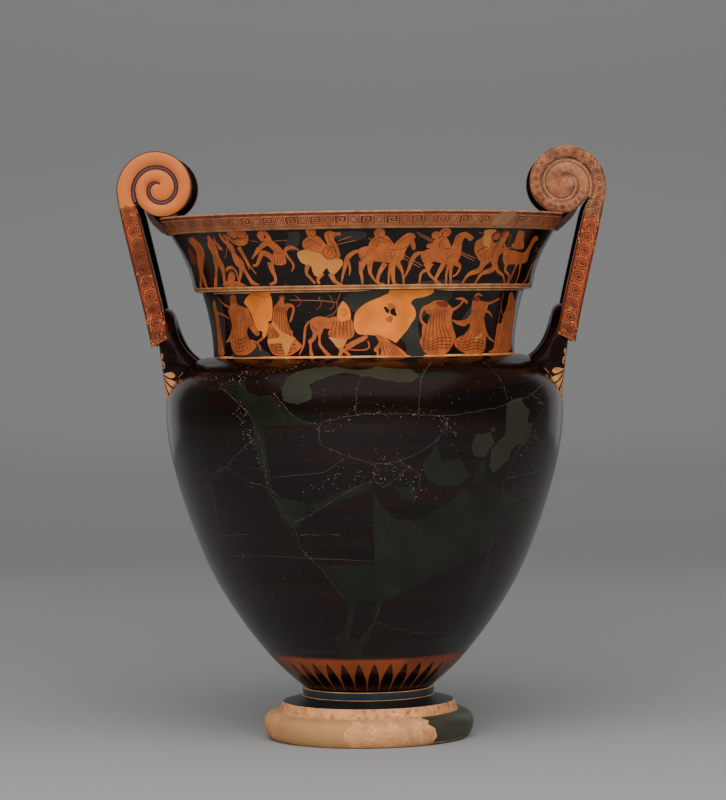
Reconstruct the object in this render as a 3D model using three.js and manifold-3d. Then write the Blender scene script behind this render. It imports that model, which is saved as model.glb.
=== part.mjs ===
// A volute krater: a wheel-thrown clay bowl on a turned foot, with a two-register
// neck, an overhanging rim and two flanged handles that roll up into volutes.
// Millimetres, +Z up, origin at the middle of the foot's underside. The handles
// stand at +X and -X, and the front faces -Y. Everything was luted together and
// fired as one, so it is one solid.

import * as THREE from 'three';
import { mergeVertices } from 'three/addons/utils/BufferGeometryUtils.js';
import Module from 'manifold-3d';

const wasm = await Module();
wasm.setup();

// ---- driving dimensions -----------------------------------------------------

const SEGMENTS = 48; // facets round the pot
const INNER_SEGMENTS = 36; // and round its hollows

const FOOT = {
  contactRadius: 92, // flat ring that the pot stands on
  contactWidth: 9,
  torusRadius: 101.5, // widest point of the lower, rounded step
  torusHeight: 15, // height of that widest point
  stepRadius: 87, // crease between the two steps
  stepHeight: 26.5,
  discRadius: 83, // upper step
  discTop: 35.5,
  ringHeight: 41, // underside of the small ring round the stem
  ringRadius: 63.5,
  ringTop: 49,
  hollowRadius: 42, // hollow inside the foot
  hollowHeight: 42,
};

const BODY = {
  baseRadius: 62.5,
  baseHeight: 50,
  maxRadius: 191.5,
  maxHeight: 321, // height of the widest point
  shoulderHeight: 368.5, // top of the shoulder
  wall: 8,
  floorHeight: 60, // lowest point inside
};

const NECK = {
  baseRadius: 145,
  lowerFlare: 10, // the lower register opens by this much
  lowerTop: 430,
  ledgeRadius: 163, // small ledge between the registers
  ledgeHeight: 434,
  upperBase: 438,
  upperRadius: 164.5,
  upperFlare: 20,
  upperTop: 486,
  wall: 9,
};

const RIM = {
  lowerRadius: 189,
  upperRadius: 197.5,
  top: 502.2,
  innerRadius: 179,
};

const STRAP = {
  foot: [202.5, 379], // outer edge of the strap, a cubic curve from its free end
  lowerPull: [210.5, 429],
  upperPull: [231.8, 504],
  head: [232.4, 529.5],
  width: 18.5, // breadth of a flange, seen from the front
  headWidth: 15.8, // and where it rolls into the volute
  endSlant: 0.07, // share of the strap's length by which its free end is cut slanting
  halfWidth: 39, // half the strap from front to back, at its free end
  halfWidthTop: 53, // and at the volute's centre
  flange: 11, // thickness of a flange at its free end
  recess: 4.2, // how far the web lies back from the flange edges
  webFoot: 403, // the web ends on top of the loop
  seat: 0.93, // share of the half width taken by the lump that seats the roll on the rim
};

// The coil's radius falls as reach * (1 - turns / turnsToEye) ** tightness.
const VOLUTES = {
  left: { side: -1, centre: [192.1, 529.5], reach: 40.3, turnsToEye: 2.8, tightness: 1.35 },
  right: { side: 1, centre: [192.1, 529.5], reach: 40.3, turnsToEye: 3, tightness: 1.3 },
};
const SLOT_END = 0.92; // turns after which the open slot becomes a carved groove
const GROOVE_END = 2.3;
const GROOVE_WIDTH = 4.3;
const GROOVE_DEPTH = 2.6;

const LOOP = {
  halfSpan: 29, // from the handle's middle to the middle of a leg
  rootHeight: 318, // the legs die into the belly here
  springHeight: 377, // and turn into a half circle here
  outerRadius: 192.5, // outer face, flush with the belly, at the height below
  outerHeight: 354,
  lean: 0.13, // it leans outward by this much for each mm of height
  thickness: 8.6, // half thickness, away from the root
  breadth: 10,
  flare: 8.5, // the legs swell by this much where they meet the shoulder
  flareHeight: 367,
  flareLength: 14,
};

// ---- small helpers ----------------------------------------------------------

const lerp = THREE.MathUtils.lerp;

// n points of a curve given as a function of t = 0..1, both ends included.
function sample(n, curve) {
  return Array.from({ length: n + 1 }, (_, i) => curve(i / n));
}

// A closed three.js geometry as a manifold solid, with its faces pointing out.
function toSolid(geometry) {
  const bare = new THREE.BufferGeometry();
  bare.setAttribute('position', geometry.getAttribute('position').clone());
  if (geometry.index) bare.setIndex(geometry.index.clone());
  const merged = mergeVertices(bare, 1e-4);
  const position = merged.getAttribute('position');
  const index = Array.from(merged.index.array);
  const triangles = [];
  let volume = 0;
  const [a, b, c] = [new THREE.Vector3(), new THREE.Vector3(), new THREE.Vector3()];
  for (let i = 0; i < index.length; i += 3) {
    const [p, q, r] = index.slice(i, i + 3);
    if (p === q || q === r || r === p) continue; // collapsed on the axis
    triangles.push([p, q, r]);
    a.fromBufferAttribute(position, p);
    b.fromBufferAttribute(position, q);
    c.fromBufferAttribute(position, r);
    volume += a.dot(b.cross(c));
  }
  const outward = volume > 0 ? triangles : triangles.map(([p, q, r]) => [p, r, q]);
  return new wasm.Manifold(new wasm.Mesh({
    numProp: 3,
    vertProperties: new Float32Array(position.array),
    triVerts: new Uint32Array(outward.flat()),
  }));
}

function toGeometry(solid) {
  const mesh = solid.getMesh();
  const geometry = new THREE.BufferGeometry();
  geometry.setAttribute('position', new THREE.BufferAttribute(mesh.vertProperties, 3));
  geometry.setIndex(new THREE.BufferAttribute(mesh.triVerts, 1));
  return geometry;
}

// A solid of revolution about Z from [radius, height] points.
function turned(points, segments) {
  const profile = points.map(([r, z]) => new THREE.Vector2(r, z));
  const geometry = new THREE.LatheGeometry(profile, segments);
  geometry.rotateX(Math.PI / 2);
  return toSolid(geometry);
}

// ---- the pot's profile ------------------------------------------------------

// The belly: an even curve through a few widths, up to the widest point.
const belly = new THREE.SplineCurve([
  [BODY.baseRadius, BODY.baseHeight],
  [88.5, 74],
  [119.5, 112.5],
  [149, 161.5],
  [172, 220],
  [187, 275],
  [BODY.maxRadius, BODY.maxHeight],
].map(([r, z]) => new THREE.Vector2(r, z)));

// The shoulder: a quarter ellipse from the widest point in to the neck.
function shoulder(t, inset) {
  const angle = (t * Math.PI) / 2;
  const reach = BODY.maxRadius - NECK.baseRadius - inset;
  const rise = BODY.shoulderHeight - BODY.maxHeight - inset;
  return [NECK.baseRadius + reach * Math.cos(angle), BODY.maxHeight + rise * Math.sin(angle)];
}

function lowerRegister(t) {
  return [NECK.baseRadius + NECK.lowerFlare * t ** 2, lerp(BODY.shoulderHeight, NECK.lowerTop, t)];
}

function upperRegister(t) {
  return [NECK.upperRadius + NECK.upperFlare * t ** 1.5, lerp(NECK.upperBase, NECK.upperTop, t)];
}

function bellyPoint(t, inset) {
  const point = belly.getPoint(t);
  const along = belly.getTangent(t);
  return [point.x - along.y * inset, point.y + along.x * inset];
}

function footProfile() {
  const { contactRadius, torusRadius, torusHeight, stepRadius, stepHeight } = FOOT;
  const lower = sample(3, (t) => {
    const angle = (t * Math.PI) / 2;
    const reach = torusRadius - contactRadius;
    return [contactRadius + reach * Math.sin(angle), torusHeight * (1 - Math.cos(angle))];
  });
  const upper = sample(3, (t) => {
    const angle = (t * Math.PI) / 2;
    const reach = torusRadius - stepRadius;
    return [stepRadius + reach * Math.cos(angle), lerp(torusHeight, stepHeight, Math.sin(angle))];
  });
  return [
    ...lower,
    ...upper.slice(1),
    [FOOT.discRadius, FOOT.stepHeight + 1],
    [FOOT.discRadius, FOOT.discTop - 1.5],
    [FOOT.discRadius - 2, FOOT.discTop],
    [FOOT.ringRadius - 1.5, FOOT.ringHeight],
    [FOOT.ringRadius, FOOT.ringHeight + 2.5],
    [FOOT.ringRadius, FOOT.ringTop - 1],
  ];
}

function outerProfile() {
  return [
    [0, 0],
    ...footProfile(),
    ...sample(12, (t) => bellyPoint(t, 0)),
    ...sample(5, (t) => shoulder(t, 0)).slice(1),
    ...sample(3, lowerRegister).slice(1),
    [NECK.ledgeRadius - 1, NECK.lowerTop + 1],
    [NECK.ledgeRadius, NECK.ledgeHeight],
    ...sample(4, upperRegister),
    [RIM.lowerRadius, NECK.upperTop + 0.5],
    [RIM.upperRadius, RIM.top - 1.5],
    [RIM.upperRadius - 1.5, RIM.top],
    [0, RIM.top],
  ];
}

// The space inside, from the floor up through the mouth.
function cavityProfile() {
  const { wall } = BODY;
  const neckBase = NECK.baseRadius - NECK.wall;
  const start = 0.09; // where the inner wall leaves the belly for the floor
  return [
    [0, BODY.floorHeight],
    [bellyPoint(start, wall)[0] * 0.6, BODY.floorHeight + 3],
    ...sample(8, (t) => bellyPoint(lerp(start, 1, t), wall)),
    ...sample(4, (t) => shoulder(t, wall)).slice(1),
    [neckBase, BODY.shoulderHeight - 2],
    [neckBase, lerp(BODY.shoulderHeight, NECK.lowerTop, 0.55)],
    [neckBase + NECK.lowerFlare * 0.8, NECK.lowerTop - 2],
    [NECK.upperRadius - NECK.wall - 2, NECK.upperBase + 4],
    [upperRegister(0.6)[0] - NECK.wall, upperRegister(0.6)[1]],
    [RIM.innerRadius - 3, NECK.upperTop + 3],
    [RIM.innerRadius, RIM.top - 2],
    [RIM.innerRadius + 1.5, RIM.top + 1],
    [0, RIM.top + 1],
  ];
}

function footHollowProfile() {
  const inner = FOOT.contactRadius - FOOT.contactWidth;
  return [
    [0, -1],
    [inner + 1, -1],
    [inner - 1, 2],
    [inner - 12, 16],
    [FOOT.hollowRadius + 8, 32],
    [FOOT.hollowRadius - 8, FOOT.hollowHeight],
    [0, FOOT.hollowHeight],
  ];
}

// ---- the handles ------------------------------------------------------------

// Half the handle from front to back, which grows evenly from foot to volute.
function halfWidthAt(z) {
  const t = (z - STRAP.foot[1]) / (VOLUTES.left.centre[1] - STRAP.foot[1]);
  return lerp(STRAP.halfWidth, STRAP.halfWidthTop, t);
}

const strapEdge = new THREE.CubicBezierCurve(
  ...[STRAP.foot, STRAP.lowerPull, STRAP.upperPull, STRAP.head].map((p) => new THREE.Vector2(...p)),
);

// A point at depth d inside the strap's outer edge, t = 0 at its free end.
function strapPoint(t, depth) {
  const point = strapEdge.getPoint(t);
  const along = strapEdge.getTangent(t);
  return [point.x - along.y * depth, point.y + along.x * depth];
}

function coilRadius(volute, turns) {
  return volute.reach * (1 - turns / volute.turnsToEye) ** volute.tightness;
}

function coilPoint(volute, turns, offset = 0) {
  const radius = coilRadius(volute, turns) + offset;
  const angle = turns * Math.PI * 2;
  const [x, z] = volute.centre;
  return [x + radius * Math.cos(angle), z + radius * Math.sin(angle)];
}

// A slab of the [x, z] outline, from y0 to y1 as fractions of the half width.
function slab(outline, y0, y1) {
  const shape = new THREE.Shape(outline.map(([x, z]) => new THREE.Vector2(x, z)));
  const geometry = new THREE.ExtrudeGeometry(shape, { depth: 1, bevelEnabled: false });
  const position = geometry.getAttribute('position');
  for (let i = 0; i < position.count; i += 1) {
    const [x, z, t] = [position.getX(i), position.getY(i), position.getZ(i)];
    position.setXYZ(i, x, lerp(y0, y1, t) * halfWidthAt(z), z);
  }
  return toSolid(geometry);
}

// The strap and its roll seen from the front, drawn in from the edge by inset.
function handleOutline(volute, inset, foot) {
  const breadth = (t) => lerp(STRAP.width, STRAP.headWidth, t ** 3) - inset;
  const outer = sample(7, (t) => strapPoint(lerp(foot, 1, t), inset));
  const coil = sample(22, (t) => coilPoint(volute, lerp(0.02, SLOT_END, t), -inset));
  const innerFoot = foot + STRAP.endSlant;
  const inner = sample(7, (t) => strapPoint(lerp(0.985, innerFoot, t), breadth(1 - t)));
  return [...outer, ...coil, ...inner];
}

// The lump of clay that seats the roll on the rim's outer edge.
function seatOutline(volute) {
  const [x, z] = volute.centre;
  return [
    [x - 12, z - 20],
    [x + 12, z - 12],
    coilPoint(volute, 0.84, -0.5),
    [RIM.upperRadius + 1, lerp(NECK.upperTop, RIM.top, 0.6)],
    [RIM.lowerRadius + 0.5, NECK.upperTop + 1.5],
    [RIM.lowerRadius - 5, NECK.upperTop + 3],
    [RIM.innerRadius + 3, RIM.top - 2],
  ];
}

// The spiral groove in a flange's face, as a strip of constant width.
function grooveOutline(volute) {
  const edge = (offset) => (t) => {
    const turns = lerp(SLOT_END - 0.02, GROOVE_END, t);
    return coilPoint(volute, turns, offset * Math.min(1, (1.2 - t) * 2));
  };
  return [...sample(24, edge(0.2)), ...sample(24, edge(GROOVE_WIDTH)).reverse()];
}

// The loop's middle line as [y, z] with its direction, from leg to leg.
function loopStations() {
  const { halfSpan, rootHeight, springHeight } = LOOP;
  const leg = sample(4, (t) => lerp(rootHeight, springHeight, t)).slice(0, -1);
  const rising = leg.map((z) => ({ y: -halfSpan, z, along: [0, 1] }));
  const falling = leg.map((z) => ({ y: halfSpan, z, along: [0, -1] })).reverse();
  const arch = sample(10, (t) => {
    const angle = t * Math.PI;
    return {
      y: -halfSpan * Math.cos(angle),
      z: springHeight + halfSpan * Math.sin(angle),
      along: [Math.sin(angle), Math.cos(angle)],
    };
  });
  return [...rising, ...arch, ...falling];
}

// One leg-to-leg ring of clay, oval in section, swelling where it roots.
function loop() {
  const around = 10;
  const stations = loopStations();
  const vertices = [];
  for (const { y, z, along } of stations) {
    const height = Math.max(z, LOOP.flareHeight - 4);
    const flare = LOOP.flare * Math.exp((LOOP.flareHeight - height) / LOOP.flareLength);
    const half = LOOP.thickness + flare;
    const breadth = LOOP.breadth + flare * 0.35;
    const x = LOOP.outerRadius + LOOP.lean * (z - LOOP.outerHeight) - half;
    for (let k = 0; k < around; k += 1) {
      const turn = (Math.PI * 2 * k) / around;
      const side = breadth * Math.sin(turn);
      vertices.push(x + half * Math.cos(turn), y - along[1] * side, z + along[0] * side);
    }
  }
  const last = stations.length - 1;
  const ring = (i, k) => i * around + (k % around);
  const index = [];
  for (let i = 0; i < last; i += 1) {
    for (let k = 0; k < around; k += 1) {
      index.push(ring(i, k), ring(i, k + 1), ring(i + 1, k + 1));
      index.push(ring(i, k), ring(i + 1, k + 1), ring(i + 1, k));
    }
  }
  for (let k = 1; k < around - 1; k += 1) {
    index.push(ring(0, 0), ring(0, k + 1), ring(0, k));
    index.push(ring(last, 0), ring(last, k), ring(last, k + 1));
  }
  const geometry = new THREE.BufferGeometry();
  geometry.setAttribute('position', new THREE.Float32BufferAttribute(vertices, 3));
  geometry.setIndex(index);
  return toSolid(geometry);
}

function handle(volute) {
  const face = 1 - STRAP.flange / STRAP.halfWidth;
  const groove = 1 - GROOVE_DEPTH / STRAP.halfWidthTop;
  const webStart = (STRAP.webFoot - STRAP.foot[1]) / (STRAP.head[1] - STRAP.foot[1]);
  let solid = slab(handleOutline(volute, STRAP.recess, webStart), -face - 0.02, face + 0.02);
  solid = solid.add(slab(seatOutline(volute), -STRAP.seat, STRAP.seat));
  for (const side of [-1, 1]) {
    solid = solid.add(slab(handleOutline(volute, 0, 0), side * face, side));
    solid = solid.subtract(slab(grooveOutline(volute), side * groove, side * 1.1));
  }
  solid = solid.add(loop());
  return volute.side > 0 ? solid : solid.rotate([0, 0, 180]);
}

// ---- the krater -------------------------------------------------------------

function krater() {
  const vessel = turned(outerProfile(), SEGMENTS)
    .add(handle(VOLUTES.left))
    .add(handle(VOLUTES.right))
    .subtract(turned(cavityProfile(), INNER_SEGMENTS))
    .subtract(turned(footHollowProfile(), INNER_SEGMENTS));
  const glaze = new THREE.MeshStandardMaterial({ color: 0x1a1512, roughness: 0.32, metalness: 0 });
  const mesh = new THREE.Mesh(toGeometry(vessel), glaze);
  mesh.name = 'krater';
  return mesh;
}

const group = new THREE.Group();
group.add(krater());

export default group;
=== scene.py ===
"""A red-figure volute krater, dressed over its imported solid.

One mesh stands for the whole fired and mended pot. Every painted shape is a patch of
faces of its own material, flush with the surface round it, so that nothing painted is
raised. Lengths below are in millimetres of the real pot and become metres by UNIT.
"""

import math
import random

import bpy
import numpy as np
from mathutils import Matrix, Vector
from mathutils.geometry import delaunay_2d_cdt


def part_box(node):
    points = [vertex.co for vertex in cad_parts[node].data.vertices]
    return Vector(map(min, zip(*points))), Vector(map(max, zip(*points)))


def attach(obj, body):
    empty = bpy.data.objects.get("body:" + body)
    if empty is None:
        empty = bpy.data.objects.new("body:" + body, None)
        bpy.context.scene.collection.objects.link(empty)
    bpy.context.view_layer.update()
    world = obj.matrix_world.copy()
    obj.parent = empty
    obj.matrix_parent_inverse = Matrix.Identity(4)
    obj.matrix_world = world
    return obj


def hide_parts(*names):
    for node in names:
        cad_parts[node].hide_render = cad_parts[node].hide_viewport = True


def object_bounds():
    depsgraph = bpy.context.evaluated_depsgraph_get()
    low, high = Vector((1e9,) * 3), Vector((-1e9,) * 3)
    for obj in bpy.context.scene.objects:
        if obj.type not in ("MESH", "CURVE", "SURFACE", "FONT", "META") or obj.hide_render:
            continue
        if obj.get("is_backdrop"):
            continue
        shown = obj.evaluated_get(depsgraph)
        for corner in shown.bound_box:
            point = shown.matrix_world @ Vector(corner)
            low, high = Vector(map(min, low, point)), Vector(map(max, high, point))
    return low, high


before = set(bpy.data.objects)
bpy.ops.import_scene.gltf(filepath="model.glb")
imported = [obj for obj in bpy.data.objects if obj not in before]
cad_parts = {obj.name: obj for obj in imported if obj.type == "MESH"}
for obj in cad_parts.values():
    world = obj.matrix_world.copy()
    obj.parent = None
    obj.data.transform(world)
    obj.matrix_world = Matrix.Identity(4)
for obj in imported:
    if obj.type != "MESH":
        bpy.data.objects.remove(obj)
CAD_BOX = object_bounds()

HEIGHT = 565.46  # to the top of the volutes
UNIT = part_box("krater")[1][2] / HEIGHT

TAU = 2 * math.pi
rng = random.Random(7)


# ---- camera, light and floor --------------------------------------------------

CAMERA_DISTANCE = 3120
CAMERA_HEIGHT = 407.4
CAMERA_AZIMUTH = 0.8  # degrees to the right of the pot's front
CAMERA_ROLL = 0.75
CAMERA_AIM = (-1.45, 0, 325.3)
LENS = 145.4


def place_camera():
    data = bpy.data.cameras.new("camera")
    data.lens = LENS
    data.clip_end = 50
    camera = bpy.data.objects.new("camera", data)
    bpy.context.scene.collection.objects.link(camera)
    bpy.context.scene.camera = camera
    turn = math.radians(CAMERA_AZIMUTH)
    away = Vector((math.sin(turn), -math.cos(turn), 0)) * CAMERA_DISTANCE
    place = away + Vector((0, 0, CAMERA_HEIGHT))
    camera.rotation_euler = (Vector(CAMERA_AIM) - place).to_track_quat("-Z", "Y").to_euler()
    camera.rotation_euler.rotate_axis("Z", -math.radians(CAMERA_ROLL))
    camera.location = place * UNIT


place_camera()


def add_light(name, place, aim, size, power):
    data = bpy.data.lights.new(name, "AREA")
    data.shape = "RECTANGLE"
    data.size, data.size_y = size
    data.energy = power
    light = bpy.data.objects.new(name, data)
    bpy.context.scene.collection.objects.link(light)
    light.location = place
    light.rotation_euler = (Vector(aim) - Vector(place)).to_track_quat("-Z", "Y").to_euler()
    return light


def light_the_studio():
    """Soft boxes in front and overhead, and lamps for the backdrop, sides and floor.

    Only the overhead box and the side panels are mirrored in the gloss. The fill stands
    for the polarised light of a museum photograph.
    """
    top = add_light("front_top", (0.0, -2.0, 2.7), (0, -0.5, 0), (4.0, 2.8), 64)
    top.visible_glossy = False
    add_light("overhead", (0, -1.6, 3.2), (0, 0, 0.3), (5.5, 4.5), 36)
    backdrop = add_light("backdrop_top", (0, 4.0, 4.2), (0, 5.8, 1.9), (8, 1.2), 98)
    backdrop.visible_glossy = False
    for side in (-1, 1):
        panel = add_light("side_panel", (side * 1.15, 1.55, 0.75), (0, 0, 0.35), (0.95, 1.4), 1.5)
        panel.visible_camera = False
    wash = add_light("floor_wash", (0, -1.15, 1.25), (0, -0.8, 0), (2.6, 0.5), 8.5)
    wash.visible_camera = False
    wash.visible_glossy = False
    fill = add_light("front_fill", (0.0, -3.4, 1.1), (0, 0, 0.35), (3.4, 2.4), 80)
    fill.visible_glossy = False
    world = bpy.data.worlds.new("studio")
    world.use_nodes = True
    background = world.node_tree.nodes["Background"]
    background.inputs["Color"].default_value = (0.8, 0.8, 0.8, 1)
    background.inputs["Strength"].default_value = 0.12
    bpy.context.scene.world = world


light_the_studio()


def studio_floor():
    """A pale floor that sweeps up behind the pot."""
    front, back, radius, top, half = -5.0, 5.2, 1.0, 5.0, 6.0
    profile = [(front, 0.0), (back, 0.0)]
    for i in range(1, 13):
        angle = i / 12 * math.pi / 2
        profile.append((back + radius * math.sin(angle), radius * (1 - math.cos(angle))))
    profile.append((back + radius, top))
    points = [(side * half, y, z) for y, z in profile for side in (-1, 1)]
    faces = [(2 * i, 2 * i + 1, 2 * i + 3, 2 * i + 2) for i in range(len(profile) - 1)]
    mesh = bpy.data.meshes.new("floor")
    mesh.from_pydata(points, [], faces)
    mesh.polygons.foreach_set("use_smooth", [True] * len(faces))
    floor = bpy.data.objects.new("floor", mesh)
    bpy.context.scene.collection.objects.link(floor)
    paper = bpy.data.materials.new("floor_paper")
    paper.use_nodes = True
    shader = paper.node_tree.nodes["Principled BSDF"]
    shader.inputs["Base Color"].default_value = (0.36, 0.36, 0.36, 1)
    shader.inputs["Roughness"].default_value = 0.9
    mesh.materials.append(paper)
    floor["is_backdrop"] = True


studio_floor()


# ---- the pot's own sizes ------------------------------------------------------

FOOT_CONTACT, TORUS_RADIUS, TORUS_HEIGHT = 92, 101.5, 15
STEP_RADIUS, STEP_HEIGHT, DISC_RADIUS, DISC_TOP = 87, 26.5, 83, 35.5
RING_RADIUS, RING_FOOT, RING_TOP = 63.5, 41, 49
BODY_BASE, BODY_MAX, SHOULDER_TOP = 50, 321, 368.5
BASE_RADIUS, BODY_RADIUS, NECK_RADIUS = 62.5, 191.5, 145
LEDGE_FOOT, LEDGE_TIP, LEDGE_TOP, LEDGE_RADIUS = 430, 434, 438, 163
PICTURE_FOOT = 435
RIM_FOOT, RIM_TOP, RIM_LOWER, RIM_UPPER, MOUTH_RADIUS = 486.5, 502.2, 189, 197.5, 179
WALL = 8
SHOULDER_SHARE = 0.16  # of the body wall's length, from base to neck

BELLY_STATIONS = [
    (BASE_RADIUS, BODY_BASE),
    (88.5, 74),
    (119.5, 112.5),
    (149, 161.5),
    (172, 220),
    (187, 275),
    (BODY_RADIUS, BODY_MAX),
    (187, 367),  # beyond the belly, only to make its top edge upright
]


def lerp(a, b, t):
    return a + (b - a) * t


def even_curve(a, b, c, d, s):
    """The point at s = 0..1 between b and c of the even curve through a, b, c, d."""
    return tuple(
        0.5
        * (
            2 * q
            + (r - p) * s
            + (2 * p - 5 * q + 4 * r - t) * s * s
            + (3 * q - p - 3 * r + t) * s**3
        )
        for p, q, r, t in zip(a, b, c, d)
    )


def belly(t):
    """The belly's outline as (radius, height), from t = 0 at the base to 1."""
    spans = len(BELLY_STATIONS) - 2
    k = min(int(t * spans), spans - 1)
    first = BELLY_STATIONS[max(k - 1, 0)]
    return even_curve(first, *BELLY_STATIONS[k : k + 3], t * spans - k)


def shoulder(t, inset=0):
    angle = t * math.pi / 2
    return (
        NECK_RADIUS + (BODY_RADIUS - NECK_RADIUS - inset) * math.cos(angle),
        BODY_MAX + (SHOULDER_TOP - BODY_MAX - inset) * math.sin(angle),
    )


def lower_register(t):
    return NECK_RADIUS + 10 * t**2, lerp(SHOULDER_TOP, LEDGE_FOOT, t)


def upper_register(t):
    return 164.5 + 20 * t**1.5, lerp(LEDGE_TOP, RIM_FOOT - 0.5, t)


def upper_wall(t):
    """The upper picture's wall, which begins on top of the ledge."""
    z = lerp(PICTURE_FOOT, RIM_FOOT - 0.5, t)
    if z < LEDGE_TOP:
        return LEDGE_RADIUS + 1.5 * (z - LEDGE_TIP) / (LEDGE_TOP - LEDGE_TIP), z
    return upper_register((z - LEDGE_TOP) / (RIM_FOOT - 0.5 - LEDGE_TOP))


def rim_face(t):
    return lerp(RIM_LOWER, RIM_UPPER, t), lerp(RIM_FOOT, RIM_TOP - 1.5, t)


def body_wall(t):
    """Belly and shoulder as one run, from t = 0 at the base to 1 at the neck."""
    split = 1 - SHOULDER_SHARE
    return belly(t / split) if t < split else shoulder((t - split) / SHOULDER_SHARE)


# ---- meshes as painted patches ------------------------------------------------


class Shell:
    """Gathers patches of faces and makes one mesh of them, welded where they meet."""

    def __init__(self):
        self.points, self.normals, self.faces, self.slots = [], [], [], []

    def add(self, points, normals, faces, slots):
        start = len(self.points)
        self.points.extend(points)
        self.normals.extend(normals)
        self.faces.extend(tuple(start + i for i in face) for face in faces)
        self.slots.extend(slots)

    def build(self, name, materials):
        points = np.array(self.points)
        normals = np.array(self.normals)
        lengths = np.linalg.norm(normals, axis=1)
        normals /= np.where(lengths > 0, lengths, 1)[:, None]
        keys = np.round(points, 3)
        _, first, weld = np.unique(keys, axis=0, return_index=True, return_inverse=True)
        weld = weld.ravel()
        faces, slots, corners = [], [], []
        for face, slot in zip(self.faces, self.slots):
            ring = [weld[i] for i in face]
            if len(set(ring)) == len(ring):
                faces.append(ring)
                slots.append(slot)
                corners.extend(normals[i] for i in face)
        mesh = bpy.data.meshes.new(name)
        mesh.from_pydata((points[first] * UNIT).tolist(), [], faces)
        mesh.polygons.foreach_set("material_index", slots)
        mesh.polygons.foreach_set("use_smooth", [True] * len(faces))
        for material in materials:
            mesh.materials.append(material)
        mesh.normals_split_custom_set(corners)
        mesh.update()
        piece = bpy.data.objects.new(name, mesh)
        bpy.context.scene.collection.objects.link(piece)
        return piece


def anticlockwise(outline):
    """The outline in the order that the triangulation asks for."""
    doubled = sum(a[0] * b[1] - b[0] * a[1] for a, b in zip(outline, outline[1:] + outline[:1]))
    return outline if doubled > 0 else outline[::-1]


def painted(shell, box, cells, place, shapes, ground, flip=False):
    """A patch of surface filled with triangles that follow the painted shapes.

    place(u, v) gives a point of the surface for the flat box ((u0, v0), (u1, v1)).
    shapes are (outline, slot) in painting order: a later one covers an earlier one.
    """
    (u0, v0), (u1, v1) = box
    columns, rows = cells
    us = [lerp(u0, u1, i / columns) for i in range(columns + 1)]
    vs = [lerp(v0, v1, j / rows) for j in range(rows + 1)]
    flat = [Vector((u, v)) for v in vs for u in us]
    wide = columns + 1
    edge = list(range(wide))
    edge += [j * wide + columns for j in range(1, rows + 1)]
    edge += [rows * wide + i for i in range(columns - 1, -1, -1)]
    edge += [j * wide for j in range(rows - 1, 0, -1)]
    outlines = [edge]
    for outline, _ in shapes:
        outlines.append(list(range(len(flat), len(flat) + len(outline))))
        flat.extend(Vector(p) for p in anticlockwise(outline))
    spots, _, faces, _, _, owners = delaunay_2d_cdt(flat, [], outlines, 0, 1e-3, True)
    kept, slots = [], []
    for face, owner in zip(faces, owners):
        if 0 in owner:
            top = max(owner)
            slots.append(shapes[top - 1][1] if top else ground)
            kept.append(tuple(face)[::-1] if flip else tuple(face))
    used = sorted({i for face in kept for i in face})
    index = {old: new for new, old in enumerate(used)}
    points, normals = [], []
    du, dv = (u1 - u0) * 1e-4, (v1 - v0) * 1e-4
    for i in used:
        u, v = min(max(spots[i][0], u0), u1), min(max(spots[i][1], v0), v1)
        points.append(place(u, v))
        left, right = place(max(u - du, u0), v), place(min(u + du, u1), v)
        low, high = place(u, max(v - dv, v0)), place(u, min(v + dv, v1))
        normal = np.cross(np.subtract(right, left), np.subtract(high, low))
        normals.append(-normal if flip else normal)
    shell.add(points, normals, [tuple(index[i] for i in face) for face in kept], slots)


AROUND = 240  # columns round the pot


def turned_patch(shell, profile, rows, radius, shapes, ground, height=1.0):
    """A band of the pot's wall, painted in millimetres round the pot and up its height.

    profile(t) gives (radius, height) for t = 0..1. The first flat axis runs along the
    band at the given radius, from the front's middle to the viewer's right.
    """

    def place(u, v):
        r, z = profile(v / height)
        return r * math.sin(u / radius), -r * math.cos(u / radius), z

    half = math.pi * radius
    painted(shell, ((-half, 0), (half, height)), (AROUND, rows), place, shapes, ground)


def turned_plain(shell, line, slot, smooth=True):
    """A plain run of the pot's wall through (radius, height) points."""
    spans = [line] if smooth else [[a, b] for a, b in zip(line, line[1:])]
    for span in spans:
        end = len(span) - 1
        points, normals, faces = [], [], []
        for k, (r, z) in enumerate(span):
            below, above = span[max(k - 1, 0)], span[min(k + 1, end)]
            outward, upward = above[1] - below[1], below[0] - above[0]
            for i in range(AROUND + 1):
                turn = lerp(-math.pi, math.pi, i / AROUND)
                x, y = math.sin(turn), -math.cos(turn)
                points.append((r * x, r * y, z))
                normals.append((outward * x, outward * y, upward))
        wide = AROUND + 1
        for j in range(end):
            for i in range(AROUND):
                a = j * wide + i
                faces.append((a, a + 1, a + 1 + wide, a + wide))
        shell.add(points, normals, faces, [slot] * len(faces))


def sheet(shell, rows, slot, flip=False):
    """A smooth sheet through a grid of points, given as rows of equal length."""
    grid = np.array(rows, dtype=float)
    across = np.gradient(grid, axis=1)
    along = np.gradient(grid, axis=0)
    normals = np.cross(across, along)
    if flip:
        normals = -normals
    high, wide = grid.shape[:2]
    faces = []
    for j in range(high - 1):
        for i in range(wide - 1):
            a = j * wide + i
            face = (a, a + 1, a + 1 + wide, a + wide)
            faces.append(face[::-1] if flip else face)
    shell.add(grid.reshape(-1, 3).tolist(), list(normals.reshape(-1, 3)), faces, [slot] * len(faces))


# ---- materials ----------------------------------------------------------------

MATERIALS = []


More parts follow.
